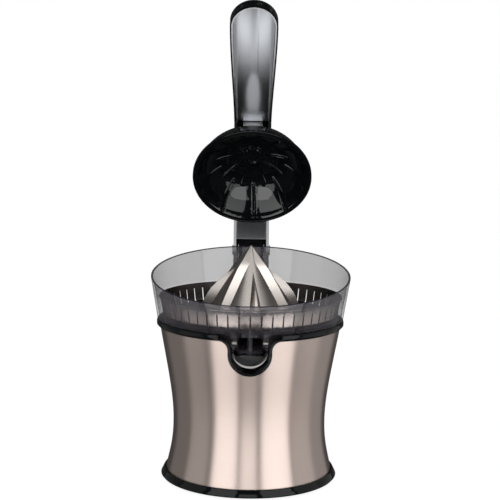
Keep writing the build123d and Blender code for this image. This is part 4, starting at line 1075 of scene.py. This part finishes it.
@dataclass
class Lever(SubAssembly):
    """Black shell, bright band, two satin panels, dome bracket and hinge caps, in millimetres."""

    panel_edge: float = 0.35
    band_edge: float = 0.3
    underside: float = 236.0
    grip_half: float = 22.6
    stem_half: float = 18.2
    # the grip's round end, where the taper ends in the stem, and a cut off end past the panel
    round_y: float = -141.6
    straight_y: float = -22.0
    end_y: float = 40.0
    # handles of the taper at the grip and at the stem, and of the straight stretches
    taper_pulls: Point = (40.0, 38.0)
    line_pull: float = 20.0
    panel_inset: float = 3.1
    panel_end_y: float = -31.0
    panel_face: float = 1.0
    panel_back: float = 3.0
    crown_radius: float = 150.0
    crown_length: float = 400.0
    crown_y: float = -100.0
    # how far the panel's prism reaches past the crown that is cut on it
    crown_room: float = 1.0
    # half width, far end and play above and below of the block that cuts the stem's stretch off
    end_block: Spot = (30.0, 60.0, 5.0)
    lip_width: float = 1.4
    lip_proud: float = 0.12
    lip_over: float = 0.02
    lip_play: float = 2.0

    def build(self) -> None:
        """Build the lever's pieces."""
        self.dress(copied("lever_shell"), "lever_shell")
        self.dress(copied("lever_trim", edge=self.band_edge), "lever_trim")
        self.dress(self.grip_panel(), "grip_panel")
        for node in ("stem_panel", "dome_carrier"):
            self.dress(copied(node, edge=self.panel_edge), node)
        self.dress(copied("hinge_caps"), "hinge_caps")
        self.lip()

    def plan(self, inset: float) -> list[Knot]:
        """Outline of the level lever from above.

        Args:
            inset: How far it is drawn in.

        Returns:
            Knots one way round.
        """
        wide, narrow = self.grip_half - inset, self.stem_half - inset
        y, straight, end, low = self.round_y, self.straight_y, self.end_y, self.round_y - wide
        pull, line = QUARTER_PULL * wide, self.line_pull
        grip_pull, stem_pull = self.taper_pulls
        right = [knot((wide, y), (wide, y - pull), (wide, y + grip_pull)),
                 knot((narrow, straight), (narrow, straight - stem_pull), (narrow, straight + line)),
                 knot((narrow, end), (narrow, end - line), (narrow - line / 4, end))]
        return [knot((0.0, low), (-pull, low), (pull, low))] + right + mirrored(right)

    def cut_end(self, piece: Piece, low: float, high: float) -> None:
        """Cut a level prism off where the grip ends.

        Args:
            piece: The prism.
            low: Height of its foot.
            high: Height of its top.
        """
        half, far, play = self.end_block
        block = rounded_block("lever_end", (-half, self.panel_end_y, low - play),
                              (half, far, high + play), 0.1)
        combine(piece, block, "DIFFERENCE")

    def grip_panel(self) -> Piece:
        """Model the grip's panel, whose face is slightly crowned across the lever.

        Returns:
            The new piece.
        """
        face, back = self.underside + self.panel_face, self.underside + self.panel_back
        axis = face + self.crown_radius
        panel = prism("grip_panel_body", self.plan(self.panel_inset), face - self.crown_room, back)
        deselect_all()
        bpy.ops.mesh.primitive_cylinder_add(vertices=720, radius=self.crown_radius * MM,
                                            depth=self.crown_length * MM,
                                            location=(0.0, self.crown_y * MM, axis * MM),
                                            rotation=(math.pi / 2, 0.0, 0.0))
        combine(panel, settle(bpy.context.object), "INTERSECT")
        self.cut_end(panel, face, back)
        ease_edges(panel, self.panel_edge, 2, 50.0)
        return smooth(raise_up(panel), 30.0)

    def lip(self) -> None:
        """Model the shell's thin black lip round the outside of the bright band."""
        low, high = self.underside - self.lip_proud, self.underside + self.panel_back
        lip = prism("lever_lip", self.plan(-self.lip_over), low, high)
        room = prism("lip_room", self.plan(self.lip_width), low - self.lip_play, high + self.lip_play)
        combine(lip, room, "DIFFERENCE")
        self.cut_end(lip, low, high)
        self.add(smooth(raise_up(lip), 30.0), "lever", "gloss_black")


@dataclass
class DomePress(SubAssembly):
    """Black ribbed dome with the rounded bead round its rim, in millimetres."""

    smooth_angle: float = 30.0
    rim_radius: float = 57.75
    rim_height: float = 186.6
    # radius of the bead, and how far its middle lies behind the rim as a share of it
    bead: float = 1.0
    bead_back: float = 0.75

    def build(self) -> None:
        """Build the dome and its bead."""
        self.dress(copied("press_dome", self.smooth_angle), "press_dome")
        middle = self.rim_height + self.bead * self.bead_back
        deselect_all()
        bpy.ops.mesh.primitive_torus_add(major_segments=256, minor_segments=20,
                                         major_radius=(self.rim_radius - self.bead) * MM,
                                         minor_radius=self.bead * MM,
                                         location=(0.0, 0.0, middle * MM))
        bead = settle(bpy.context.object)
        bead.name = "dome_bead"
        self.add(smooth(raise_up(bead), 60.0), "dome", "gloss_black")


@dataclass
class HiddenWorks(SubAssembly):
    """Motor, gears, pins and screws inside, which keep their solids, and the return spring."""

    travel: float = 2.5

    def build(self) -> None:
        """Give every solid of the frame its finish, and let a copy of the return spring ride on its body."""
        for node, solid in frame["nodes"].items():
            solid.data.materials.clear()
            solid.data.materials.append(self.rack.by_slot[self.slot_of(node)])
        LOG.info("finish given to %d solids", len(frame["nodes"]))
        spring = copied("return_spring")
        self.dress(spring, "return_spring")
        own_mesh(spring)


# ---------------------------------------------------------------- studio
def hang_light(name: str, place: Vector, facing: Vector, size: Point, radiance: float,
               shape: str = "RECTANGLE") -> Piece:
    """Add a flat light that the camera doesn't see.

    Args:
        name: Name of the light.
        place: Its middle in metres.
        facing: Direction in which it shines.
        size: Width and height in metres.
        radiance: How bright its face is.
        shape: Blender's name of its outline.

    Returns:
        The light.
    """
    bpy.ops.object.light_add(type="AREA", location=place)
    lamp = bpy.context.object
    lamp.name = name
    lamp.data.shape = shape
    lamp.data.size, lamp.data.size_y = size
    lamp.data.energy = radiance * math.pi * size[0] * size[1]
    lamp.rotation_euler = facing.to_track_quat("-Z", "Y").to_euler()
    lamp.visible_camera = False
    return lamp


@dataclass(frozen=True)
class SoftBox:
    """A rectangular light that the gloss of the press shows and the camera doesn't."""

    name: str
    bearing: float
    elevation: float
    distance: float
    width: float
    tall: float
    radiance: float
    target_height: float = 0.2

    def place(self) -> Piece:
        """Add the light, aimed at the press.

        Returns:
            The light.
        """
        angle, rise = math.radians(self.bearing), math.radians(self.elevation)
        target = Vector((0.0, 0.0, self.target_height))
        way = Vector((math.sin(angle) * math.cos(rise), -math.cos(angle) * math.cos(rise), math.sin(rise)))
        lamp = hang_light(self.name, target + way * self.distance, -way, (self.width, self.tall),
                          self.radiance)
        lamp.visible_transmission = False
        return lamp


@dataclass(frozen=True)
class Card:
    """A small bright card close to the press, which only chosen pieces show."""

    name: str
    place_m: Spot
    facing: Spot
    width: float
    tall: float
    radiance: float
    shape: str = "RECTANGLE"

    def place(self) -> Piece:
        """Add the card as a light."""
        return hang_light(self.name, Vector(self.place_m), Vector(self.facing), (self.width, self.tall),
                          self.radiance, self.shape)


@dataclass(frozen=True)
class Studio:
    """Floor, lights, world and camera."""

    camera_height: float = 0.410
    camera_distance: float = 1.350
    camera_side: float = -0.00113
    pitch: float = 8.0
    roll: float = 0.75
    focal_px: float = 1429.0
    frame_px: float = 500.0
    sensor_mm: float = 36.0
    floor_size: float = 60.0
    floor_glow: float = 0.9
    gloss_world: float = 0.06

    def build(self, pieces: dict[str, Piece]) -> None:
        """Add floor, lights, world and camera.

        Args:
            pieces: Every dressed piece by its name.
        """
        self.floor()
        self.lights(pieces)
        self.world()
        self.camera()

    def floor(self) -> None:
        """Add the plain pale floor, bright enough to have no horizon."""
        deselect_all()
        bpy.ops.mesh.primitive_plane_add(size=self.floor_size, location=(0.0, 0.0, 0.0))
        floor = bpy.context.object
        floor.name = "studio_floor"
        material = Moulded("pale_floor", "#606060", 0.6, 4.0, 0.02, 0.2).build()
        shader = next(node for node in material.node_tree.nodes if node.type == "BSDF_PRINCIPLED")
        shader.inputs["Emission Color"].default_value = linear("#FFFFFF")
        shader.inputs["Emission Strength"].default_value = self.floor_glow
        floor.data.materials.append(material)
        floor.visible_glossy = floor.visible_diffuse = floor.visible_shadow = False

    def lights(self, pieces: dict[str, Piece]) -> None:
        """Add the soft boxes and cards, each lighting only the pieces it is meant for.

        Args:
            pieces: Every dressed piece by its name.
        """
        dome, cone, bead = pieces["press_dome_body"], pieces["reamer_body"], pieces["dome_bead"]
        panels = [pieces[name] for name in ("grip_panel_body", "lever_trim_body", "dome_carrier_body")]
        others = [piece for piece in bpy.context.scene.objects
                  if piece.type == "MESH" and piece not in (dome, cone, bead, pieces["grip_panel_body"])]
        groups = {
            "lit_body": (others, [
                SoftBox("box_left", -34.0, 2.0, 1.7, 1.10, 3.0, 1.35),
                SoftBox("box_right", 39.5, 2.0, 1.7, 1.36, 3.0, 1.42),
                SoftBox("box_middle", 0.0, -2.0, 2.4, 0.96, 2.6, 1.2),
                SoftBox("box_side_left", -78.0, 2.0, 1.8, 1.20, 2.8, 0.36),
                SoftBox("box_side_right", 84.0, 2.0, 1.8, 1.20, 2.8, 0.48),
                SoftBox("box_far_left", -118.0, 2.0, 1.8, 1.20, 2.8, 0.12),
                SoftBox("box_far_right", 121.0, 2.0, 1.8, 1.20, 2.8, 0.26),
            ]),
            "lit_cone": ([cone], [
                SoftBox("cone_right", 38.0, 33.0, 1.7, 0.76, 0.90, 1.9),
                SoftBox("cone_left", -5.0, 35.0, 1.7, 0.80, 0.80, 2.1),
                SoftBox("cone_high", 0.0, 62.0, 1.4, 1.20, 0.60, 0.60),
            ]),
            "lit_dome": ([dome], [
                SoftBox("dome_right", 27.0, 8.0, 1.7, 1.10, 2.00, 2.4),
                SoftBox("dome_left", -25.0, 8.0, 1.7, 0.95, 2.00, 2.8),
                Card("dome_near_left", (-0.0095, 0.0691, 0.2696), (0.0, 0.45, -0.85), 0.012, 0.017, 2.6),
                Card("dome_near_right", (0.0095, 0.0691, 0.2696), (0.0, 0.45, -0.85), 0.012, 0.017, 3.2),
            ]),
            "lit_bead": ([bead], [
                SoftBox("bead_front", 0.0, 5.0, 1.7, 2.20, 1.60, 3.4),
            ]),
            "lit_trough": ([pieces["drip_spout_body"]], [
                SoftBox("trough_front", 0.0, -12.0, 1.2, 0.30, 0.10, 2.5),
            ]),
            "lit_trim": ([pieces["lever_trim_body"]], [
                Card("card_stem", (0.0, 0.088, 0.246), (0.0, 0.731, -0.682), 0.06, 0.04, 0.5),
            ]),
            "lit_strainer": ([pieces["strainer_body"]], [
                SoftBox("strainer_middle", 1.0, 0.0, 1.7, 0.80, 1.0, 1.2),
            ]),
            "lit_panels": (panels, [
                Card("card_front_left", (-0.078, -0.150, 0.238), (0.0, 0.345, 0.938), 0.13, 0.085, 1.30),
                Card("card_front_right", (0.078, -0.150, 0.238), (0.0, 0.345, 0.938), 0.13, 0.085, 1.40),
                Card("card_near", (0.0, -0.074, 0.238), (0.0, 0.345, 0.938), 0.24, 0.065, 0.58),
                Card("card_grip", (0.0, 0.0365, 0.3445), (0.0, 0.82, 0.572), 0.017, 0.062, 0.36, "ELLIPSE"),
                Card("card_bracket", (0.0, 0.036, 0.322), (0.0, 0.82, 0.572), 0.030, 0.030, 0.50),
            ]),
        }
        for name, (receivers, lamps) in groups.items():
            seen_by = bpy.data.collections.new(name)
            for piece in receivers:
                seen_by.objects.link(piece)
            for lamp in lamps:
                lamp.place().light_linking.receiver_collection = seen_by

    def world(self) -> None:
        """Add the even white world, which gloss sees only faintly."""
        world = bpy.data.worlds.new("pale_world")
        bpy.context.scene.world = world
        world.use_nodes = True
        tree = world.node_tree
        path = add_node(tree, "ShaderNodeLightPath")
        through = add_node(tree, "ShaderNodeMath", {"operation": "SUBTRACT", 0: 1.0},
                           {1: path.outputs["Is Transmission Ray"]})
        mirrored = add_node(tree, "ShaderNodeMath", {"operation": "MULTIPLY"},
                            {0: path.outputs["Is Glossy Ray"], 1: through.outputs["Value"]})
        strength = add_node(tree, "ShaderNodeMapRange", {"To Min": 1.0, "To Max": self.gloss_world},
                            {"Value": mirrored.outputs["Value"]})
        background = tree.nodes["Background"]
        background.inputs["Color"].default_value = linear("#FFFFFF")
        tree.links.new(strength.outputs["Result"], background.inputs["Strength"])

    def camera(self) -> None:
        """Add the camera at the viewing angle, with its slight roll."""
        deselect_all()
        bpy.ops.object.camera_add(location=(self.camera_side, -self.camera_distance, self.camera_height))
        camera = bpy.context.object
        camera.name = "view_camera"
        camera.data.sensor_width = self.sensor_mm
        camera.data.lens = self.sensor_mm * self.focal_px / self.frame_px
        turn = Matrix.Rotation(math.radians(90.0 - self.pitch), 4, "X")
        turn = turn @ Matrix.Rotation(math.radians(self.roll), 4, "Z")
        camera.rotation_euler = turn.to_euler()
        bpy.context.scene.camera = camera
        bpy.context.scene.view_settings.view_transform = "Standard"


def main() -> None:
    """Build the press and its studio in order."""
    logging.basicConfig(level=logging.INFO, format="%(name)s: %(message)s")
    rack = FinishRack()
    pieces: dict[str, Piece] = {}
    for kind in (HiddenWorks, Housing, JuiceBowl, JuiceParts, TroughGlint, FlutedCone, Lever, DomePress):
        group = kind(rack)
        group.build()
        pieces.update({piece.name: piece for piece in group.pieces})
        LOG.info("%s done, %d pieces", type(group).__name__, len(group.pieces))
    Studio().build(pieces)


if __name__ == "__main__":
    main()
